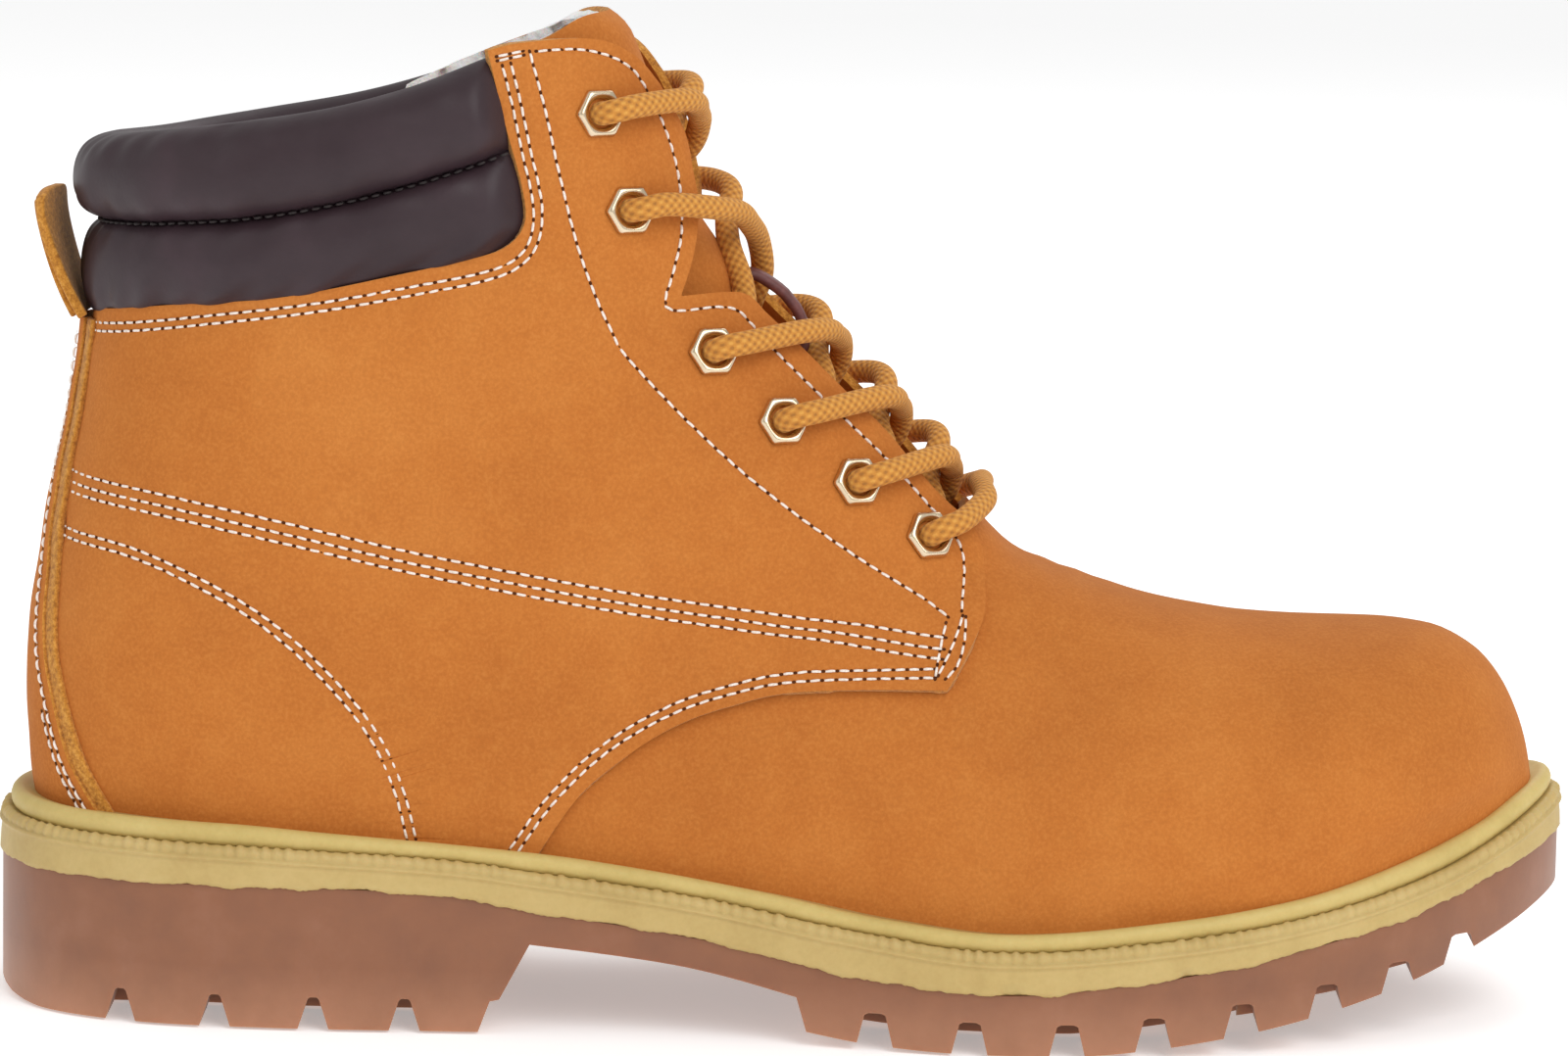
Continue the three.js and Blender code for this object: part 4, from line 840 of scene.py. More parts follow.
def sole_edge(spacing):
    """Edge of the sole in plan and its outward normals, anticlockwise."""
    p = np.array(SOLE_OUTLINE, float)
    points = []
    t = np.linspace(0, 1, 60)[:-1, None]
    for i in range(len(p)):
        a, b, c, d = [p[(i + k) % len(p)] for k in (-1, 0, 1, 2)]
        ka, kb, kc = [np.linalg.norm(v) ** 0.5 for v in (b - a, c - b, d - c)]
        m1 = (b - a) / ka - (c - a) / (ka + kb) + (c - b) / kb
        m2 = (c - b) / kb - (d - b) / (kb + kc) + (d - c) / kc
        m1, m2 = m1 * kb, m2 * kb
        points.append((2 * t**3 - 3 * t**2 + 1) * b + (t**3 - 2 * t**2 + t) * m1 + (3 * t**2 - 2 * t**3) * c
                      + (t**3 - t**2) * m2)
    ring = np.vstack(points + [p[:1]])
    length = np.concatenate([[0], np.cumsum(np.linalg.norm(np.diff(ring, axis=0), axis=1))])
    count = int(round(length[-1] / spacing))
    at = np.linspace(0, length[-1], count + 1)[:-1]
    ring = np.stack([np.interp(at, length, ring[:, k]) for k in (0, 1)], -1)
    along = np.roll(ring, -1, axis=0) - np.roll(ring, 1, axis=0)
    along /= np.linalg.norm(along, axis=1, keepdims=True)
    return ring, np.stack([along[:, 1], -along[:, 0]], -1)


def swept(name, rings, materials, closed=True, caps=False):
    """Faces between rings of points: rings[i] is the section at station i, each a closed loop unless it is open."""
    rings = np.asarray(rings, float)
    count, size = rings.shape[:2]
    faces = []
    for i in range(count if closed else count - 1):
        a, b = i * size, ((i + 1) % count) * size
        faces += [(a + j, b + j, b + (j + 1) % size, a + (j + 1) % size) for j in range(size)]
    if caps:
        faces.append(tuple(range(size - 1, -1, -1)))
        faces.append(tuple((count - 1) * size + j for j in range(size)))
    obj = new_object(name, rings.reshape(-1, 3), faces, materials)
    face_outward(obj)
    return obj


def face_outward(obj):
    only(obj)
    bpy.ops.object.mode_set(mode="EDIT")
    bpy.ops.mesh.select_all(action="SELECT")
    bpy.ops.mesh.normals_make_consistent(inside=False)
    bpy.ops.object.mode_set(mode="OBJECT")


def prism(name, outline, axis, low, high):
    """A closed outline drawn out along an axis."""
    outline = np.array(outline, float)
    n = len(outline)
    points = []
    for level in (low, high):
        depth = np.full(n, float(level))
        order = {"X": (depth, outline[:, 0], outline[:, 1]), "Y": (outline[:, 0], depth, outline[:, 1]),
                 "Z": (outline[:, 0], outline[:, 1], depth)}[axis]
        points.append(np.stack(order, -1))
    faces = [(i, (i + 1) % n, n + (i + 1) % n, n + i) for i in range(n)]
    faces += [tuple(range(n - 1, -1, -1)), tuple(range(n, 2 * n))]
    obj = new_object(name, np.vstack(points), faces)
    face_outward(obj)
    return obj


def cut(obj, tool, operation="DIFFERENCE"):
    """Applies one boolean cut and throws the cutter away."""
    modify(obj, "BOOLEAN", object=tool, operation=operation, solver="EXACT")
    bpy.data.objects.remove(tool, do_unlink=True)
    return obj


def join(objects, name):
    only(objects[0])
    for other in objects[1:]:
        other.select_set(True)
    bpy.ops.object.join()
    obj = bpy.context.object
    obj.name = name
    return obj


def smooth_by_angle(obj, degrees):
    only(obj)
    bpy.ops.object.shade_smooth_by_angle(angle=math.radians(degrees))
    return obj


def side_outline(lines, side, spacing=1.5):
    """Runs of (x, z) corner to corner as (s, u) on one side."""
    run = joined(lines, spacing)
    s, t = find_on_side(run[:, 0], run[:, 1])
    return np.stack([s, side * t], -1)


def row_points(name, shift, spacing):
    """A row of stitching as s, t along it."""
    points = spaced(STITCH_ROWS[name][0], spacing)
    if shift:
        points = spaced(shifted(points, shift), spacing)
    return find_on_side(points[:, 0], points[:, 1])


def stitch_tree():
    """All lateral stitch points, for pressing a shallow furrow into the leather under each row."""
    found = []
    for name, (_, shifts) in STITCH_ROWS.items():
        for shift in shifts:
            s, t = row_points(name, shift, 1.0)
            found.append(surface(s, t, -1.0))
    points = np.vstack(found)
    tree = kdtree.KDTree(len(points))
    for i, point in enumerate(points):
        tree.insert(point, i)
    tree.balance()
    return tree


def relief(points, tree, depth, radius=1.7):
    """Height lost beside the stitching, and a slow unevenness of the hide."""
    lost = np.zeros(len(points))
    for i, (x, y, z) in enumerate(points):
        distance = tree.find((x, -abs(y), z))[2]
        if distance < radius:
            lost[i] = depth * (1 - (distance / radius) ** 2) ** 2
    return hide(points) - lost


def furrow_points(side):
    """Points on and beside every row of stitching, as s, u."""
    found = []
    for name, (points, shifts) in STITCH_ROWS.items():
        row = spaced(points, 1.1)
        for shift in sorted({a + b for a in shifts for b in (-1.5, -0.75, 0, 0.75, 1.5)}):
            moved = shifted(row, shift)
            s, t = find_on_side(moved[:, 0], moved[:, 1])
            found.append(np.stack([s, side * t], -1))
    return np.vstack(found)


def hide(points):
    """Slow unevenness of the side leather, and its fullness just under the collar."""
    x, y, z = points.T
    slow = 0.22 * np.sin(x / 13 + 0.7) * np.sin(z / 11 + np.abs(y) / 19 + 0.4)
    slow += 0.1 * np.sin(x / 5.3 + z / 7.1) * np.sin(np.abs(y) / 6)
    seam = smooth_line([(-150, 132), (-118, 137.3), (-77, 144.4), (-50, 149)])(np.minimum(x, -51))
    return slow + 0.5 * np.exp(-((seam - 9 - z) / 9) ** 2) * np.clip((-50 - x) / 12, 0, 1)


def find_at_back(y, z):
    """s and t of the surface points seen at y, z from behind."""
    y, z = np.broadcast_arrays(np.abs(np.asarray(y, float)), np.asarray(z, float))
    low, high = np.zeros_like(z), np.full_like(z, 12.0)

    def depth(s):
        half, end_half, back = COLUMNS[6](s), COLUMNS[7](s), COLUMNS[10](s)
        share = np.clip((y - end_half) / np.maximum(half - end_half, 1e-6), 0, 1)
        return 0.5 + np.arccos(share ** (back / 2)) / math.pi

    for _ in range(36):
        middle = (low + high) / 2
        over = surface(middle, depth(middle), -1.0)[..., 2] > z
        low, high = np.where(over, middle, low), np.where(over, high, middle)
    s = (low + high) / 2
    return s, depth(s)


def tube(name, route, radius, sides, materials, uv=None):
    """A round tube along a dense route, with rounded ends; uv is (name, length of one repeat, repeats round)."""
    route = np.asarray(route, float)
    along = np.gradient(route, axis=0)
    along /= np.linalg.norm(along, axis=1, keepdims=True)
    across = np.cross(along[0], (0.3, 0.1, 1))
    frames = []
    for direction in along:
        across = across - direction * across.dot(direction)
        across /= np.linalg.norm(across)
        frames.append((across.copy(), np.cross(direction, across)))
    angles = np.arange(sides) * 2 * math.pi / sides
    distance = np.concatenate([[0], np.cumsum(np.linalg.norm(np.diff(route, axis=0), axis=1))])
    end = np.minimum(distance, distance[-1] - distance)
    radii = radius * np.sqrt(np.clip(1 - (1 - np.minimum(end / radius, 1)) ** 2, 0.05, 1))
    points = [p + r * (np.cos(angles)[:, None] * a + np.sin(angles)[:, None] * b)
              for p, r, (a, b) in zip(route, radii, frames)]
    obj = swept(name, points, materials, closed=False, caps=True)
    if uv:
        layer = obj.data.uv_layers.new(name=uv[0])
        for polygon in obj.data.polygons:
            corners = list(polygon.loop_indices)
            index = [obj.data.loops[c].vertex_index for c in corners]
            around = [i % sides for i in index]
            wrap = max(around) - min(around) > sides / 2
            for c, i, j in zip(corners, index, around):
                turn = j + sides if wrap and j < sides / 2 else j
                layer.data[c].uv = (distance[i // sides] / uv[1], turn / sides * uv[2])
    return obj


def copies(name, points, faces, frames, materials):
    """One small shape repeated at frames of (origin, x, y, z), as one mesh."""
    points, faces = np.asarray(points, float), [tuple(f) for f in faces]
    origins, xs, ys, zs = [np.array(part) for part in zip(*frames)]
    placed = (origins[:, None] + points[None, :, 0:1] * xs[:, None] + points[None, :, 1:2] * ys[:, None]
              + points[None, :, 2:3] * zs[:, None])
    all_faces = [tuple(i + k * len(points) for i in face) for k in range(len(origins)) for face in faces]
    return new_object(name, placed.reshape(-1, 3), all_faces, materials)


def stitch_shape(length, radius):
    """One stitch: a short thread arched out of the leather, its ends sunk into it. Six sides, six rings."""
    points, faces = [], []
    shares = [-1, -0.72, -0.3, 0.3, 0.72, 1]
    for share in shares:
        x = share * length / 2
        lift = radius * (0.75 - 1.5 * share**4)
        r = radius * (1 - 0.45 * share**4)
        for k in range(6):
            angle = math.pi * (k / 3 + 1 / 6)
            points.append((x, r * math.cos(angle), lift + r * math.sin(angle)))
    for i in range(5):
        for k in range(6):
            a, b = i * 6 + k, i * 6 + (k + 1) % 6
            faces.append((a, a + 6, b + 6, b))
    faces += [tuple(range(6)), tuple(range(35, 29, -1))]
    return points, faces


def hole_shade_disc(radius):
    """A shallow disc of eight sides, which carries the painted shade of a needle hole."""
    points = [(0, 0, 0.2)] + [
        (radius * 1.3 * math.cos(k * math.pi / 4), radius * math.sin(k * math.pi / 4), 0.16) for k in range(8)
    ]
    return points, [(0, 1 + k, 1 + (k + 1) % 8) for k in range(8)]


def stitch_frames(s, t, side, offset, pitch, sample):
    """Frames along a row, one at the middle of each stitch and one at each hole between."""
    points = settle(offset_surface(s, t, side, offset + hide(surface(s, t, side))))
    outward = normals(s, t, side)
    length = np.concatenate([[0], np.cumsum(np.linalg.norm(np.diff(points, axis=0), axis=1))])
    count = max(1, int(round(length[-1] / pitch)))
    places = (np.arange(count) + 0.5) * length[-1] / count
    holes = np.arange(count + 1) * length[-1] / count

    def frames(where):
        made = []
        for place in where:
            p = np.array([np.interp(place, length, points[:, k]) for k in range(3)])
            ahead = np.array([np.interp(min(place + 0.4, length[-1]), length,
                                        points[:, k]) for k in range(3)])
            behind = np.array([np.interp(max(place - 0.4, 0), length, points[:, k]) for k in range(3)])
            z = np.array([np.interp(place, length, outward[:, k]) for k in range(3)])
            x = (ahead - behind) / np.linalg.norm(ahead - behind)
            z = z - x * z.dot(x)
            z /= np.linalg.norm(z)
            tilt = sample.uniform(-0.07, 0.07)
            y = np.cross(z, x)
            made.append((p, x * math.cos(tilt) + y * math.sin(tilt),
                         y * math.cos(tilt) - x * math.sin(tilt), z))
        return made

    return frames(places), frames(holes)


# ------------------------------------------------------------------ settings
class BootSettings(bpy.types.PropertyGroup):
    """Sizes and colours that a user would change."""

    stitch_pitch: bpy.props.FloatProperty(
        name="Stitch pitch", description="Distance from one stitch to the next", default=0.0027, min=0.002,
        unit="LENGTH")
    stitch_length: bpy.props.FloatProperty(
        name="Stitch length", description="Length of thread that shows", default=0.00215, min=0.001,
        unit="LENGTH")
    thread_width: bpy.props.FloatProperty(
        name="Thread width", description="Diameter of the sewing thread", default=0.00056, min=0.0003,
        unit="LENGTH")
    furrow: bpy.props.FloatProperty(
        name="Stitch furrow", description="Depth pressed into the leather by a row of stitching",
        default=0.0004,
        min=0, unit="LENGTH")
    lace_width: bpy.props.FloatProperty(
        name="Lace width", description="Diameter of the round lace", default=0.0046, min=0.003, unit="LENGTH")
    suede_margin: bpy.props.FloatProperty(
        name="Suede margin", description="Width of raw suede left round the heel strip", default=0.0027,
        min=0.001,
        unit="LENGTH")
    pile_size: bpy.props.FloatProperty(
        name="Pile size", description="Size of the lumps in the fleece", default=0.0026, min=0.001,
        unit="LENGTH")
    floor_colour: bpy.props.FloatVectorProperty(
        name="Floor colour", description="Colour of the studio floor", default=(0.93, 0.93, 0.93),
        subtype="COLOR",
        min=0, max=1)


def settings():
    return bpy.context.scene.boot_settings


# ------------------------------------------------------------------ operators
class BOOT_OT_outsole(bpy.types.Operator):
    """Gum outsole with its heel, lugs and tread channels"""

    bl_idname = "boot.outsole"
    bl_label = "Outsole"

    def execute(self, context):
        ring, outward = sole_edge(3.0)
        base = prism("outsole_rubber", ring, "Z", -20, 60)
        top = smooth_line(OUTSOLE_TOP)
        breast = [HEEL_TREAD[i:i + 2] for i in range(2, 6)]
        profile = joined([HEEL_TREAD[:3], *breast, SHANK_UNDERSIDE, [(3, 9), (5, 2.4)],
                          FOREFOOT_TREAD[:4], FOREFOOT_TREAD[3:5], FOREFOOT_TREAD[4:]], 3.0)
        xs = np.arange(158, -159, -3.0)
        over = np.stack([xs, top(xs) + 0.2], -1)
        cut(base, prism("profile", np.vstack([profile, over]), "Y", -80, 80), "INTERSECT")
        tread = smooth_line(FOREFOOT_TREAD)
        inner = ring - outward * SIDE_LUG_WIDTH
        middle = ring - outward * (SIDE_LUG_WIDTH + TREAD_CHANNEL)
        channel = prism("channel", inner, "Z", -30, 60)
        cut(channel, prism("core", middle, "Z", -40, 70))
        front = np.arange(12, 151, 5.0)
        space = prism("heel_space", [(-150, -20), (-64, -20), (-64, LUG_DEPTH), (-150, LUG_DEPTH)], "Y",
                      -80, 80)
        fore = prism("fore_space", np.vstack([np.stack([front, tread(front) + LUG_DEPTH - 1], -1),
                                              [(150, -20), (12, -20)]]), "Y", -80, 80)
        cut(channel, join([space, fore], "space"), "INTERSECT")
        cut(base, channel)
        places = [(x, 0.0) for x in HEEL_NOTCHES] + [(x, float(tread(x))) for x in FOREFOOT_NOTCHES]
        reach = {side: ring[np.sign(ring[:, 1]) == side] for side in (-1, 1)}
        edge = {side: (lambda x, p=p[np.argsort(p[:, 0])]: np.interp(x, p[:, 0], p[:, 1])) for side,
                p in reach.items()}
        outer, inner_cuts = [], []
        for x, floor in places:
            lateral, medial = edge[-1](x), edge[1](x)
            root, roof = (1.1 if x < 0 else 2.0), floor + float(smooth_line(NOTCH_DEPTHS)(x))
            wedge = [(-4.9, floor - 6), (-root, roof - 0.4), (-root * 0.6, roof), (root * 0.6, roof),
                     (root, roof - 0.4),
                     (4.9, floor - 6)]
            at = [(x + a, b) for a, b in wedge]
            outer.append(prism("notch", at, "Y", -80, lateral + SIDE_LUG_WIDTH + 1))
            outer.append(prism("notch", at, "Y", medial - SIDE_LUG_WIDTH - 1, 80))
            half = 9.5 if x < 0 else 8.5
            level = float(tread(x + half)) * (x > 0) + 0.5
            wedge = [(-4.4, level - 6), (-2.0, level + LUG_DEPTH - 2), (2.0, level + LUG_DEPTH - 2),
                     (4.4, level - 6)]
            inner_cuts.append(prism("notch", [(x + half + a, b) for a, b in wedge], "Y",
                                    lateral + SIDE_LUG_WIDTH + 1, medial - SIDE_LUG_WIDTH - 1))
        cut(base, join(outer, "notches"))
        cut(base, join(inner_cuts, "inner_notches"))
        base.data.materials.clear()
        base.data.materials.append(finish("gum"))
        modify(base, "BEVEL", width=0.8 * MM, segments=3, limit_method="ANGLE", angle_limit=math.radians(32),
               use_clamp_overlap=True)
        smooth_by_angle(base, 35)
        show(base, "boot", "gum_rubber", "outsole")
        return {"FINISHED"}


class BOOT_OT_welt(bpy.types.Operator):
    """Cream midsole band with its moulded teeth, and the rounded welt above it"""

    bl_idname = "boot.welt"
    bl_label = "Welt and midsole"

    def execute(self, context):
        sample = np.random.default_rng(11)
        ring, outward = sole_edge(0.55)
        count = len(ring)
        x = ring[:, 0]
        seat, roof, floor = smooth_line(WELT_SEAT)(x), smooth_line(WELT_TOP)(x), smooth_line(OUTSOLE_TOP)(x)
        phase = np.cumsum(1 + 0.22 * np.interp(np.arange(count), np.arange(0, count + 8, 8),
                                               sample.uniform(-1, 1, count // 8 + 2)[:len(np.arange(0,
                                                                                                    count + 8, 8))]))
        phase *= round(phase[-1] * 0.55 / 2.5) / phase[-1]
        tooth = np.clip(0.5 + 0.9 * np.cos(2 * math.pi * phase), 0, 1)
        tall = np.interp(phase, np.arange(0, phase[-1] + 2), sample.uniform(0.25, 1.15, int(phase[-1]) + 2))
        tooth = tooth * tall
        rag = np.convolve(np.tile(sample.normal(0, 1, count), 3), np.ones(9) / 9, "same")[count:2 * count]
        slow = np.convolve(np.tile(sample.normal(0, 1, count), 3), np.ones(60) / 60, "same")[count:2 * count]

        def section(rows):
            rings = []
            for proud, z in rows:
                flat = ring + outward * np.broadcast_to(proud, count)[:, None]
                rings.append(np.column_stack([flat, np.broadcast_to(z, count)]))
            return np.stack(rings, axis=1)

        tall_bead = roof - seat
        centre = self.bead_centre(ring, roof)
        bead = [(centre - 9, seat - 0.2), (centre - 9, roof - 1.2), (centre - 3.1, roof - 0.9),
                (centre - 1.6, roof - 0.45)]
        for step in range(9):
            angle = math.radians(115 - step * 26)
            bead.append((centre + 1.75 * math.cos(angle) + 0.15 * slow,
                         seat + 0.25 + tall_bead * (0.46 + 0.5 * math.sin(angle))))
        bead.append((centre + 0.2, seat - 0.2))
        welt = swept("welt_bead", section(bead), [finish("welt")])
        show(welt, "boot", "cream_rubber", "welt")
        edge = 0.4
        rows = [
            (-14, floor + 0.2), (-14, seat - 0.05), (-3.6, seat - 0.05), (-2.4, seat + 0.5),
            (-1.55, seat + 0.6),
            (-1.35 + 0.3 * tooth, seat + 0.65 + 0.45 * tooth),
            (-0.75 + 0.45 * tooth, seat + 0.45 + 0.55 * tooth),
            (-0.15 + 0.5 * tooth, seat - 0.05 + 0.35 * tooth), (edge - 0.35 + 0.45 * tooth, seat - 0.7),
            (edge - 0.45 + 0.35 * tooth, seat - 1.05), (edge - 0.15, seat - 1.25), (edge + 0.2, seat - 1.45),
            (edge + 0.3, seat - 1.75), (edge + 0.05, seat - 2.05), (edge - 0.25, seat - 2.3),
            (edge - 0.2 + 0.1 * slow, seat - 2.9), (edge + 0.15 * slow, (seat + floor) / 2 - 0.7),
            (edge + 0.1, floor + 0.9), (edge + 0.15 + 0.12 * rag, floor + 0.3 + 0.6 * rag),
            (edge - 0.2, floor + 0.05 + 0.65 * rag), (-0.7, floor + 0.15),
        ]
        midsole = swept("midsole_band", section(rows), [finish("midsole")])
        show(midsole, "boot", "cream_rubber", "midsole")
        return {"FINISHED"}

    @staticmethod
    def bead_centre(ring, roof):
        """Where the bead's middle stands across the edge, so that it lies against the upper all round."""
        s, t = np.meshgrid(np.linspace(9.5, LAST, 400), np.linspace(0.6, 1, 60), indexing="ij")
        level = smooth_line(WELT_TOP)
        tree = kdtree.KDTree(2 * s.size)
        for side in (-1.0, 1.0):
            points = offset_surface(s, t, side, np.full(s.shape, UNDER_OUT)).reshape(-1, 3)
            points = points[np.abs(points[:, 2] - level(points[:, 0])) < 0.9]
            for i, point in enumerate(points):
                tree.insert((point[0], point[1], 0), i)
        tree.balance()
        gap = np.array([tree.find((x, y, 0))[2] for x, y in ring])
        around = np.ones(25) / 25
        gap = np.convolve(np.concatenate([gap[-12:], gap, gap[:12]]), around, "valid")
        return -np.clip(gap - 0.9, 2.4, 3.3)


class BOOT_OT_vamp(bpy.types.Operator):
    """Toe and vamp leather, under the quarters"""

    bl_idname = "boot.vamp"
    bl_label = "Vamp"

    def execute(self, context):
        wing = side_outline([VAMP_WING[:-1], [(35, 99), (36.5, 101)]], -1)
        ridge = find_on_side(np.array([37.5]), np.array([96.5]))[0][0]
        wing = wing[(wing[:, 0] < 30)]
        wing = wing[np.abs(wing[:, 1]) < 0.97]
        top = [(ridge, u) for u in np.linspace(wing[-1, 1], -wing[-1, 1], 24)[1:-1]]
        s = np.linspace(wing[0, 0], LAST, 120)
        low = np.stack([s, -np.minimum(1.0, sole_bottom(s))], -1)
        front = [(LAST, u) for u in np.linspace(low[-1, 1], -low[-1, 1], 60)[1:-1]]
        outline = np.vstack([wing, top, wing[::-1] * (1, -1), low * (1, -1), front, low[::-1]])
        tree = stitch_tree()

        def height(points, s, u):
            x, y, z = points.T
            crease = 0.16 * np.exp(-((x - 52) / 9) ** 2) * np.sin(x * 0.9 + np.cos(y / 9) * 2.2)
            return UNDER_OUT + relief(points, tree, 0) * 0.8 + crease

        vamp = skin("vamp_leather", outline, height, [finish("nubuck"), finish("suede")])
        self.tuck(vamp)
        leather(vamp, LEATHER, 0.6)
        show(vamp, "boot", "nubuck", "vamp", "toe_puff")
        return {"FINISHED"}

    @staticmethod
    def tuck(vamp):
        """Draws the lowest leather in behind the welt bead where the toe would cover it."""
        ring, outward = sole_edge(3.0)
        roof = smooth_line(WELT_TOP)
        for vertex in vamp.data.vertices:
            x, y, z = [v / MM for v in vertex.co]
            share = min(1.0, max(0.0, (roof(x) + 11 - z) / 10))
            if share == 0:
                continue
            nearest = np.argmin((ring[:, 0] - x) ** 2 + (ring[:, 1] - y) ** 2)
            inset = -(np.array([x, y]) - ring[nearest]).dot(outward[nearest])
            pull = max(0.0, 3.9 - inset) * share * share * (3 - 2 * share)
            vertex.co.x -= outward[nearest][0] * pull * MM
            vertex.co.y -= outward[nearest][1] * pull * MM


class BOOT_OT_quarters(bpy.types.Operator):
    """Side leathers, from the heel strip to the eyelets and over the vamp"""

    bl_idname = "boot.quarters"
    bl_label = "Quarters"

    def execute(self, context):
        tree = stitch_tree()
        for name, side in (("lateral", -1), ("medial", 1)):
            lines = [COLLAR_SEAT, COLLAR_CORNER, FLANGE_TOP, FLANGE_EDGE, NOTCH_STEP, LOWER_FLANGE,
                     FLANGE_FOOT,
                     QUARTER_SWEEP]
            upper = side_outline(lines, side)
            upper = upper[np.abs(upper[:, 1]) < 0.9995]
            bottom_s, bottom_t = find_on_side(np.array([-46.0]), np.array([33.0]))
            upper = upper[~((upper[:, 0] > bottom_s[0]) & (np.abs(upper[:, 1]) > sole_bottom(upper[:, 0])))]
            heel_s = np.linspace(upper[-1, 0], 10.2, 40)
            low = np.stack([heel_s, side * np.minimum(1.0, sole_bottom(heel_s))], -1)
            low = low[1:]
            back = np.stack([np.linspace(low[-1, 0], upper[0, 0], 90)[1:-1], np.full(88, side * 1.0)], -1)
            outline = np.vstack([upper, low, back])

            def height(points, s, u):
                return QUARTER_OUT + relief(points, tree, settings().furrow / MM)

            quarter = skin(f"quarter_{name}_leather", outline, height, [finish("nubuck"), finish("suede")],
                           extra=furrow_points(side), settled=True)
            leather(quarter, LEATHER, 0.7)
            show(quarter, "boot", "nubuck", f"quarter_{name}")
            lines = [
                [(-53, 186.4), (-47, 168), (-40, 143), (-31, 125), (-16, 110), (6, 92), (26, 79)],
                [(26, 79), (24.5, 99.5)],
                [(x - 1.5, z - 1.5) for x, z in LOWER_FLANGE[:4][::-1]], [(-7.8, 134.7), (-12, 138.7)],
                [(-12, 138.7), (-23.5, 138.7)], [(x - 1.5, z - 1) for x, z in FLANGE_EDGE[::-1]],
                [(-29.2, 178.9), (-34, 184)], [(-34, 184), (-41, 187)], [(-41, 187), (-53, 186.4)],
            ]
            lines[1][1] = lines[2][0] = (24.5, 99.5)
            lines[2][-1] = lines[3][0]
            lines[5][0], lines[5][-1] = lines[4][1], lines[6][0]
            backer = skin(f"eyestay_backer_{name}_leather", side_outline(lines, side), UNDER_OUT,
                          [finish("suede"), finish("suede")], settled=True)
            leather(backer, 1.6, 0.4)
            show(backer, "boot", "suede", f"eyestay_backer_{name}")
        return {"FINISHED"}


class BOOT_OT_heel_strip(bpy.types.Operator):
    """Two-layer strip up the heel, and the pull tab at its top"""

    bl_idname = "boot.heel_strip"
    bl_label = "Heel strip and pull tab"

    def execute(self, context):
        width = smooth_line([(z, w) for z, w in reversed(BACKSTAY_HALF_WIDTHS)])
        seat = float(smooth_line(WELT_SEAT)(-139))
        margin = settings().suede_margin / MM
        made = []
        for name, inset, out, thick, keys in (
            ("suede", 0, BACKSTAY_IN + 1.0, 1.5, ("suede", "suede")),
            ("face", margin, BACKSTAY_OUT + 0.2, 1.3, ("nubuck", "suede")),
        ):
            z = np.linspace(seat - 1.5, TAB_BOTTOM - 0.3, 90)
            y = np.linspace(-1, 1, 41)
            zz = np.repeat(z[:, None], 41, axis=1)
            reach = self.reach_of(z, width(z), y, inset)
            yy = reach * np.sign(y)[None, :]
            side = np.where(yy > 0, 1.0, -1.0)
            s, t = find_at_back(yy, zz)
            bulge = 0.5 * np.sqrt(np.clip(1 - np.abs(y[None, :]) ** 6, 0, 1)) - 0.35
            rough = 0.12 * np.sin(zz / 3.1 + yy / 4) * np.sin(yy / 2.7)
            points = offset_surface(s, t, side, out + bulge + rough).reshape(-1, 3)
            faces = []
            for i in range(89):
                faces += [(i * 41 + j, i * 41 + j + 1, (i + 1) * 41 + j + 1,
                           (i + 1) * 41 + j) for j in range(40)]
            obj = new_object(f"backstay_{name}", points, faces, [finish(key) for key in keys])
            face = obj.data.polygons[40 * 45 + 20]
            if face.normal.x > 0:
                obj.data.flip_normals()
            leather(obj, thick, 0.45)
            made.append(obj)
        show(made[0], "boot", "suede", "backstay")
        show(made[1], "boot", "nubuck", "backstay")
        self.tab()
        return {"FINISHED"}

    @staticmethod
    def reach_of(z, half_width, shares, inset):
        """Distance from the middle line, in y, of points that share out each row's length along the leather."""
        y = np.linspace(0, 1, 60)[None, :] * half_width[:, None]
        s, t = find_at_back(y, np.repeat(z[:, None], 60, axis=1))
        points = surface(s, t, 1.0)
        length = np.cumsum(np.linalg.norm(np.diff(points, axis=1), axis=2), axis=1)
        length = np.hstack([np.zeros((len(z), 1)), length])
        return np.array([np.interp(np.abs(shares) * (row[-1] - inset), row, at) for row,
                         at in zip(length, y)])

    def tab(self):
        margin = settings().suede_margin / MM
        for name, inset, face, thick, keys in (
            ("suede", 0, -2.1, 2.0, ("suede", "suede")),
            ("face", margin, -3.4, 1.3, ("nubuck", "suede")),
        ):
            rows, columns = 40, 32
            rise = np.linspace(0, 1 - inset / (TAB_TOP - TAB_BOTTOM) * 0.75, rows)[:, None]
            corner = np.clip((rise - 0.82) / 0.18, 0, 1)
            half = (TAB_HALF_WIDTH * (1 - 0.12 * rise**2) - inset) * (1 - 0.1 * corner**2.5)
            y = np.linspace(-1, 1, columns)[None, :] * half
            z = TAB_BOTTOM + (TAB_TOP - TAB_BOTTOM) * rise - 4.5 * (np.abs(y) / TAB_HALF_WIDTH) ** 4 * rise**3
            s, _ = find_at_back(np.zeros_like(z), z)
            back = COLUMNS[3](s) - BACKSTAY_OUT + LEATHER
            lean = TAB_LEAN * rise * (2 - rise)
            curl = y**2 * (1 / 120 - rise / 50) + 0.14 * y * rise - 0.4
            points = np.stack([back - lean + curl + face, y, z], -1).reshape(-1, 3)
            faces = []
            for i in range(rows - 1):
                faces += [(i * columns + j, i * columns + j + 1, (i + 1) * columns + j + 1,
                           (i + 1) * columns + j)
                          for j in range(columns - 1)]
            obj = new_object(f"pull_tab_{name}", points, faces, [finish(key) for key in keys])
            if obj.data.polygons[len(faces) // 2].normal.x > 0:
                obj.data.flip_normals()
            leather(obj, thick, 0.5)
            show(obj, "heel_tab", "nubuck", "pull_tab")


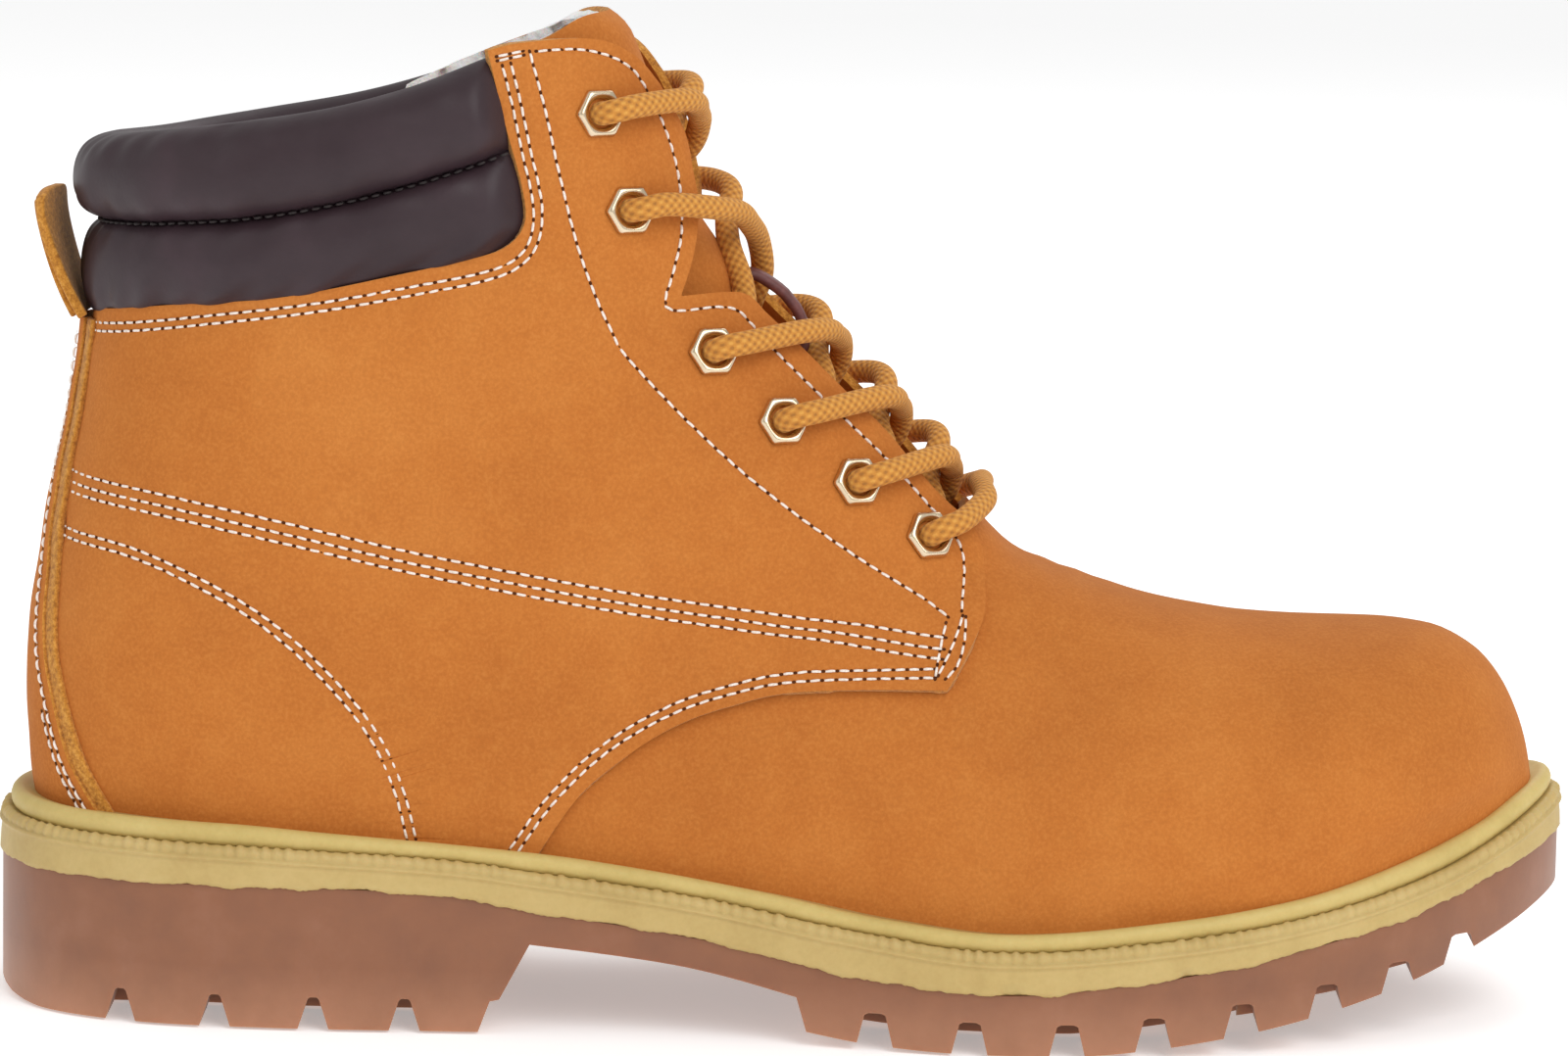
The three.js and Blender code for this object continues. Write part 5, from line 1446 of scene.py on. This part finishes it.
class BOOT_OT_collar(bpy.types.Operator):
    """Two padded rolls of dark leather round the top"""

    bl_idname = "boot.collar"
    bl_label = "Padded collar"

    def execute(self, context):
        front = np.array(sorted(COLLAR_FRONT, key=lambda p: p[1]))
        for name, low_line, high_line, low_lift, profile, node_name in (
            ("collar_roll_upper", COLLAR_SEAM, COLLAR_TOP, 0.0, UPPER_ROLL, "collar_upper_roll"),
            ("collar_roll_lower", COLLAR_SEAT, COLLAR_SEAM, 0.0, LOWER_ROLL, "collar_lower_roll"),
        ):
            low, high = smooth_line(low_line), smooth_line(high_line)
            section = self.closed_curve(profile, 44)
            rise, offset = section[:, 0][None, :], section[:, 1][None, :]
            steps = np.linspace(-1, 1, 221)[:, None]
            side = np.where(steps < 0, -1.0, 1.0)
            level = low(-55.0) + (high(-55.0) - low(-55.0)) * rise
            x_front = np.interp(level, front[:, 1], front[:, 0]) + 3.6
            _, t_front = find_on_side(x_front, level)
            t = 1 - (1 - t_front) * np.abs(steps)
            s = np.full(t.shape, 2.0)
            for _ in range(8):
                x = surface(s, t, side)[..., 0]
                height = low(x) + low_lift + (high(x) - low(x) - low_lift) * rise
                s = self.section_at(t, height)
            ends = np.clip((1 - np.abs(steps)) / 0.085, 0, 1)
            ends = ends * ends * (3 - 2 * ends)
            angle = steps * 9.5
            puff = (
                0.55 * np.sin(angle * 2.3 + 0.6) * np.sin(rise * 3.1 + angle)
                + 0.3 * np.sin(angle * 7.1 + rise * 4) * np.exp(-((rise - 0.12) / 0.2) ** 2)
                + 0.3 * np.sin(angle * 8.3 + 1.2) * np.exp(-((rise - 0.92) / 0.16) ** 2)
            )
            shrunk = np.where(offset > 0, offset * (0.04 + 0.96 * ends), offset * (0.55 + 0.45 * ends))
            shrunk = shrunk - 0.9 * (1 - ends) + puff * ends * (offset > 0.5)
            points = settle(offset_surface(s, t, np.broadcast_to(side, t.shape), shrunk))
            points[110, :, 1] = 0
            heel = np.clip((-114 - points[..., 0]) / 22, 0, 1)
            points[..., 0] -= 0.4 * heel * heel * (3 - 2 * heel)
            obj = swept(name, points, [finish("collar")], closed=False, caps=True)
            modify(obj, "SUBSURF", levels=1, render_levels=1)
            obj.data.polygons.foreach_set("use_smooth", [True] * len(obj.data.polygons))
            show(obj, "boot", "dark_leather", node_name)
        return {"FINISHED"}

    @staticmethod
    def closed_curve(profile, count):
        p = np.array(profile, float) * (16, 1)
        ring = np.vstack([p[-1:], p, p[:2]])
        t = np.linspace(0, 1, 16)[:-1, None]
        parts = [0.5 * (2 * b + (c - a) * t + (2 * a - 5 * b + 4 * c - d) * t**2 + (3 * b - a - 3 * c + d) * t**3)
                 for a, b, c, d in zip(ring, ring[1:], ring[2:], ring[3:])]
        ring = np.vstack(parts + [p[:1]])
        length = np.concatenate([[0], np.cumsum(np.linalg.norm(np.diff(ring, axis=0), axis=1))])
        at = np.linspace(0, length[-1], count + 1)[:-1]
        return np.stack([np.interp(at, length, ring[:, k]) for k in (0, 1)], -1) / (16, 1)

    @staticmethod
    def section_at(t, height):
        low, high = np.zeros_like(t), np.full_like(t, 9.0)
        for _ in range(32):
            middle = (low + high) / 2
            over = surface(middle, t, -1.0)[..., 2] > height
            low, high = np.where(over, middle, low), np.where(over, high, middle)
        return (low + high) / 2


class BOOT_OT_lining(bpy.types.Operator):
    """White pile lining and footbed"""

    bl_idname = "boot.lining"
    bl_label = "Fleece lining"

    def execute(self, context):
        parts = []
        for name in ("fleece_lining", "footbed"):
            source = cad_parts[name]
            copy = bpy.data.objects.new(name + "_copy", source.data.copy())
            context.scene.collection.objects.link(copy)
            copy.data.transform(source.matrix_world)
            parts.append(copy)
        pile = join(parts, "lining_pile")
        pile.data.materials.clear()
        pile.data.materials.append(finish("fleece"))
        modify(pile, "REMESH", mode="VOXEL", voxel_size=2.0 * MM)
        lumps = bpy.data.textures.new("pile lumps", "CLOUDS")
        lumps.noise_scale = settings().pile_size
        modify(pile, "DISPLACE", texture=lumps, strength=1.3 * MM, mid_level=0.5, texture_coords="GLOBAL")
        pile.data.polygons.foreach_set("use_smooth", [True] * len(pile.data.polygons))
        show(pile, "boot", "fleece", "fleece_lining", "footbed", "insulation")
        return {"FINISHED"}


class BOOT_OT_tongue(bpy.types.Operator):
    """Tongue leather and the pile behind it, one piece each, bending at the top"""

    bl_idname = "boot.tongue"
    bl_label = "Tongue"

    def execute(self, context):
        for name, finishes, depth, thick, slot, nodes, trim in (
            ("tongue_leather", ("nubuck", "suede"), 0.0, 2.0, "nubuck", ("tongue", "tongue_top"), 0.0),
            ("tongue_pile", ("fleece", "fleece"), -2.2, 2.4, "fleece",
             ("tongue_fleece", "tongue_top_fleece"), 0.9),
        ):
            back = side_outline([TONGUE_BACK[::-1]], -1)
            back = back[np.abs(back[:, 1]) > 0.0]
            top = side_outline([[(-78, 172), (-76.5, 176.2)], [(-76.5, 176.2)] + TONGUE_TOP_LINE[1:5]], -1)
            top = top[np.abs(top[:, 1]) > 0.004]
            low_s = back[0, 0]
            low = [(low_s, u) for u in np.linspace(-back[0, 1], back[0, 1], 26)[1:-1]]
            ridge_s = top[-1, 0]
            outline = np.vstack([low, back, top, [(ridge_s, 0.0)], top[::-1] * (1, -1), back[::-1] * (1, -1)])

            def height(points, s, u, depth=depth):
                t = np.abs(u)
                crown = TONGUE_OUT + (TONGUE_CROWN - TONGUE_OUT) * np.clip(1 - (t / 0.17) ** 2, 0, 1)
                x, y, z = points.T
                rise = np.clip((z - 158) / 24, 0, 1)
                flare = 3.2 * rise * rise * (3 - 2 * rise) - 2.4 * np.clip((z - 190) / 7, 0, 1.2) ** 2
                flare *= np.clip(1 - (t / 0.42) ** 2, 0, 1)
                soft = 0.35 * np.sin(z / 8.5 + np.cos(y / 8)) * np.sin(y / 9 + 1)
                instep = 2.4 * np.exp(-(((z - 150) / 10) ** 2)) * np.clip(1 - (t / 0.26) ** 2, 0, 1)
                return crown + flare + instep + soft * 0.7 + depth

            obj = skin(name, outline, height, [finish(key) for key in finishes])
            leather(obj, thick, 0.7)
            if finishes[0] == "fleece":
                lumps = bpy.data.textures.new("tongue lumps", "CLOUDS")
                lumps.noise_scale = settings().pile_size
                modify(obj, "DISPLACE", texture=lumps, strength=0.9 * MM, mid_level=0.5,
                       texture_coords="GLOBAL")
            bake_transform(obj)
            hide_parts(*nodes)
        return {"FINISHED"}


class BOOT_OT_eyelets(bpy.types.Operator):
    """Six-sided eyelets, modelled once and set twelve times"""

    bl_idname = "boot.eyelets"
    bl_label = "Eyelets"

    def execute(self, context):
        angles = np.arange(72) * 2 * math.pi / 72
        flat = 4.55
        away = np.abs((angles + math.pi / 6) % (math.pi / 3) - math.pi / 6)
        hexagon = flat / np.cos(np.minimum(away, math.radians(27.5)))
        rows = [(1, 0.99, -0.9), (1, 1.0, -0.2), (1, 0.985, 0.15), (0.95, 0.94, 0.62), (0.8, 0.885, 0.86),
                (0.5, 0.83, 0.93),
                (0.15, 0.765, 0.86), (0, 0.7, 0.7), (0, 0.645, 0.4), (0, 0.61, -0.1), (0, 0.6, -1),
                (0, 0.6, -5.2),
                (0, 0.68, -5.2), (0, 0.68, -0.9)]
        shape, faces = [], []
        for share, scale, z in rows:
            radius = (hexagon * share + flat * (1 - share)) * scale
            shape += [(r * math.cos(a), r * math.sin(a), z) for r, a in zip(radius, angles)]
        count = len(rows)
        for i in range(count):
            for j in range(72):
                faces.append((i * 72 + j, i * 72 + (j + 1) % 72, ((i + 1) % count) * 72 + (j + 1) % 72,
                              ((i + 1) % count) * 72 + j))
        frames = []
        for side in (-1.0, 1.0):
            s, t = find_on_side(*np.array(EYELETS, float).T)
            points, outward = surface(s, t, side), normals(s, t, side)
            for point, z in zip(points, outward):
                up = np.array([0, 0, 1.0]) - z * z[2]
                up /= np.linalg.norm(up)
                frames.append((point + z * (QUARTER_OUT + 0.55), up, np.cross(z, up), z))
        obj = copies("eyelet_rings", shape, faces, frames, [finish("metal")])
        face_outward(obj)
        names = [f"eyelet_{name}_{i + 1}" for name in ("lateral", "medial") for i in range(6)]
        show(obj, "boot", "eyelet_metal", *names)
        return {"FINISHED"}


class BOOT_OT_lace(bpy.types.Operator):
    """Round braided lace and the leather loop that keeps it on the tongue"""

    bl_idname = "boot.lace"
    bl_label = "Lace"

    def execute(self, context):
        p = lace_route()
        ring = np.vstack([2 * p[0] - p[1], p, 2 * p[-1] - p[-2]])
        t = np.linspace(0, 1, 12)[:-1, None]
        parts = []
        for a, b, c, d in zip(ring, ring[1:], ring[2:], ring[3:]):
            ka, kb, kc = [max(np.linalg.norm(v), 1e-3) ** 0.5 for v in (b - a, c - b, d - c)]
            m1 = ((b - a) / ka - (c - a) / (ka + kb) + (c - b) / kb) * kb
            m2 = ((c - b) / kb - (d - b) / (kb + kc) + (d - c) / kc) * kb
            parts.append((2 * t**3 - 3 * t**2 + 1) * b + (t**3 - 2 * t**2 + t) * m1 + (3 * t**2 - 2 * t**3) * c
                         + (t**3 - t**2) * m2)
        dense = np.vstack(parts + [p[-1:]])
        length = np.concatenate([[0], np.cumsum(np.linalg.norm(np.diff(dense, axis=0), axis=1))])
        at = np.linspace(0, length[-1], int(length[-1] / 0.75))
        route = np.stack([np.interp(at, length, dense[:, k]) for k in range(3)], -1)
        lace = tube("lace_braid", route, settings().lace_width / MM / 2, 28, [finish("lace")],
                    ("braid", 1.9, 7))
        show(lace, "boot", "lace_yarn", "lace")
        self.keeper()
        return {"FINISHED"}

    def keeper(self):
        """A strap that rises from the tongue and goes back into it."""
        rows = spaced([(3.38, -9), (3.43, -6.2), (3.52, -3.2), (3.68, -1.5), (3.88, -0.5), (4.1, -0.7),
                       (4.34, -2.2),
                       (4.5, -4.8), (4.58, -9)], 0.35)
        along = np.gradient(rows, axis=0)
        rings = []
        section = [(-2.8, 0), (-2.6, 0.7), (-2, 1.05), (2, 1.05), (2.6, 0.7), (2.8, 0), (2.6, -0.7),
                   (2, -1.05),
                   (-2, -1.05), (-2.6, -0.7)]
        for (s, offset), (ds, rise) in zip(rows, along):
            centre = offset_surface(s, 0.0, -1.0, np.array(offset))
            ahead = offset_surface(s + ds * 0.1, 0.0, -1.0, np.array(offset + rise * 0.1)) - centre
            ahead /= np.linalg.norm(ahead)
            out = np.cross(ahead, (0, 1.0, 0))
            rings.append([centre + np.array([0, a + 0.4, 0]) + out * b for a, b in section])
        strap = swept("lace_keeper_strap", rings, [finish("strap")], closed=False, caps=True)
        smooth_by_angle(strap, 50)
        show(strap, "boot", "keeper_leather", "lace_keeper")


class BOOT_OT_stitching(bpy.types.Operator):
    """Rows of cream lockstitch with painted shade discs at their needle holes, and the dark seam between the collar
    rolls
    """

    bl_idname = "boot.stitching"
    bl_label = "Stitching"

    def execute(self, context):
        sample = np.random.default_rng(5)
        pitch, length = settings().stitch_pitch / MM, settings().stitch_length / MM
        radius = settings().thread_width / MM / 2
        for name, side in (("lateral", -1.0), ("medial", 1.0)):
            stitches, holes = [], []
            for row, (_, shifts) in STITCH_ROWS.items():
                for shift in shifts:
                    s, t = row_points(row, shift, 1.2)
                    outer = QUARTER_OUT - settings().furrow / MM
                    made, pricked = stitch_frames(s, t, side, outer, pitch, sample)
                    stitches += made
                    holes += pricked
            for inset, low, high in ((4.6, 36.5, 129), (6.3, 36.5, 58)):
                z = np.arange(low, high, 1.2)
                width = smooth_line([(a, b) for a, b in reversed(BACKSTAY_HALF_WIDTHS)])(z)
                reach = BOOT_OT_heel_strip.reach_of(z, width, np.array([1.0]), inset)[:, 0]
                s, t = find_at_back(reach, z)
                made, pricked = stitch_frames(s, t, side, BACKSTAY_OUT + 0.3, pitch, sample)
                stitches += made
                holes += pricked
            threads = copies(f"stitches_{name}", *stitch_shape(length, radius), stitches, [finish("thread")])
            show(threads, "boot", "nubuck")
            seam = np.array([(-136.5, 151.2), *COLLAR_SEAM[2:6], (-54.5, 168.3)])
            s, t = find_on_side(*spaced(seam, 1.2).T)
            made, _ = stitch_frames(s, t, side, 2.1, 2.3, sample)
            dark = copies(f"collar_stitches_{name}", *stitch_shape(1.7, 0.3), made, [finish("collar_thread")])
            show(dark, "boot", "dark_leather")
            # dark discs at the needle holes: painted shade standing in for the shadow in each hole
            hole_shade_discs = copies(f"needle_holes_{name}", *hole_shade_disc(0.32), holes, [finish("hole")])
            show(hole_shade_discs, "boot", "nubuck")
        return {"FINISHED"}


class BOOT_OT_inner_parts(bpy.types.Operator):
    """Finishes for the parts that stay as the frame has them"""

    bl_idname = "boot.inner_parts"
    bl_label = "Inner parts"

    def execute(self, context):
        keys = {"shank": "steel", "insole_board": "board", "heel_counter": "board",
                "aglet_lateral": "tip",
                "aglet_medial": "tip"}
        for name, key in keys.items():
            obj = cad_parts[name]
            obj.data.materials.clear()
            obj.data.materials.append(finish(key))
        return {"FINISHED"}


class BOOT_OT_stage(bpy.types.Operator):
    """Pale floor, soft studio light and the camera"""

    bl_idname = "boot.stage"
    bl_label = "Stage"

    def execute(self, context):
        scene = context.scene
        scene.view_settings.view_transform = "Standard"
        bpy.ops.object.select_all(action="DESELECT")
        bpy.ops.mesh.primitive_plane_add(size=16, location=(0, 0, -0.0005))
        floor = context.object
        floor.name = "studio_floor"
        made, tree, shader = material("studio floor, matt white", Roughness=0.9, Specular_IOR_Level=0.1)
        colour = settings().floor_colour
        shader.inputs["Base Color"].default_value = (*colour, 1)
        shader.inputs["Emission Color"].default_value = (1, 1, 1, 1)
        shader.inputs["Emission Strength"].default_value = 0.34
        floor.data.materials.append(made)
        world = scene.world or bpy.data.worlds.new("studio")
        scene.world = world
        world.use_nodes = True
        background = world.node_tree.nodes["Background"]
        background.inputs["Color"].default_value = (1, 1, 1, 1)
        background.inputs["Strength"].default_value = 0.62
        for name, place, size, energy in (
            ("key", (0.85, -1.4, 1.4), 1.4, 20), ("fill", (-1.5, -0.7, 0.9), 1.4, 3),
            ("rim", (0.5, 1.4, 1.5), 1.2, 9),
        ):
            light = bpy.data.lights.new(name, "AREA")
            light.size = size
            light.energy = energy
            obj = bpy.data.objects.new(name, light)
            scene.collection.objects.link(obj)
            obj.location = place
            obj.rotation_euler = (Vector((0, 0, 0.08)) - Vector(place)).to_track_quat("-Z", "Y").to_euler()
        camera = bpy.data.cameras.new("camera")
        camera.lens = 152.1
        camera.sensor_width = 36
        camera.clip_end = 50
        obj = bpy.data.objects.new("camera", camera)
        scene.collection.objects.link(obj)
        elevation, roll = math.radians(8), math.radians(1)
        right = Vector((1, 0, 0))
        up = Vector((0, math.sin(elevation), math.cos(elevation)))
        back = right.cross(up)
        x = right * math.cos(roll) + up * math.sin(roll)
        y = up * math.cos(roll) - right * math.sin(roll)
        target = Vector((-0.0009, 0, 0.0925))
        place = target + back * 1.3
        obj.matrix_world = Matrix([(*row, at) for row,
                                   at in zip(Matrix((x, y, back)).transposed(), place)] + [(0, 0, 0, 1)])
        scene.camera = obj
        return {"FINISHED"}


PIECES = (
    BOOT_OT_outsole, BOOT_OT_welt, BOOT_OT_vamp, BOOT_OT_quarters, BOOT_OT_heel_strip, BOOT_OT_collar,
    BOOT_OT_lining,
    BOOT_OT_tongue, BOOT_OT_eyelets, BOOT_OT_lace, BOOT_OT_stitching, BOOT_OT_inner_parts, BOOT_OT_stage,
)


class BOOT_PT_panel(bpy.types.Panel):
    """Lists the settings and the pieces"""

    bl_idname = "BOOT_PT_panel"
    bl_label = "Insulated boot"
    bl_space_type = "VIEW_3D"
    bl_region_type = "UI"
    bl_category = "Boot"

    def draw(self, context):
        for name in BootSettings.__annotations__:
            self.layout.prop(context.scene.boot_settings, name)
        for piece in PIECES:
            self.layout.operator(piece.bl_idname)


CLASSES = (BootSettings, *PIECES, BOOT_PT_panel)


def register():
    for cls in CLASSES:
        bpy.utils.register_class(cls)
    bpy.types.Scene.boot_settings = bpy.props.PointerProperty(type=BootSettings)


def unregister():
    del bpy.types.Scene.boot_settings
    for cls in reversed(CLASSES):
        bpy.utils.unregister_class(cls)


def main():
    register()
    bpy.ops.object.select_all(action="DESELECT")
    for piece in PIECES:
        group, name = piece.bl_idname.split(".")
        getattr(getattr(bpy.ops, group), name)()


if __name__ == "__main__":
    main()
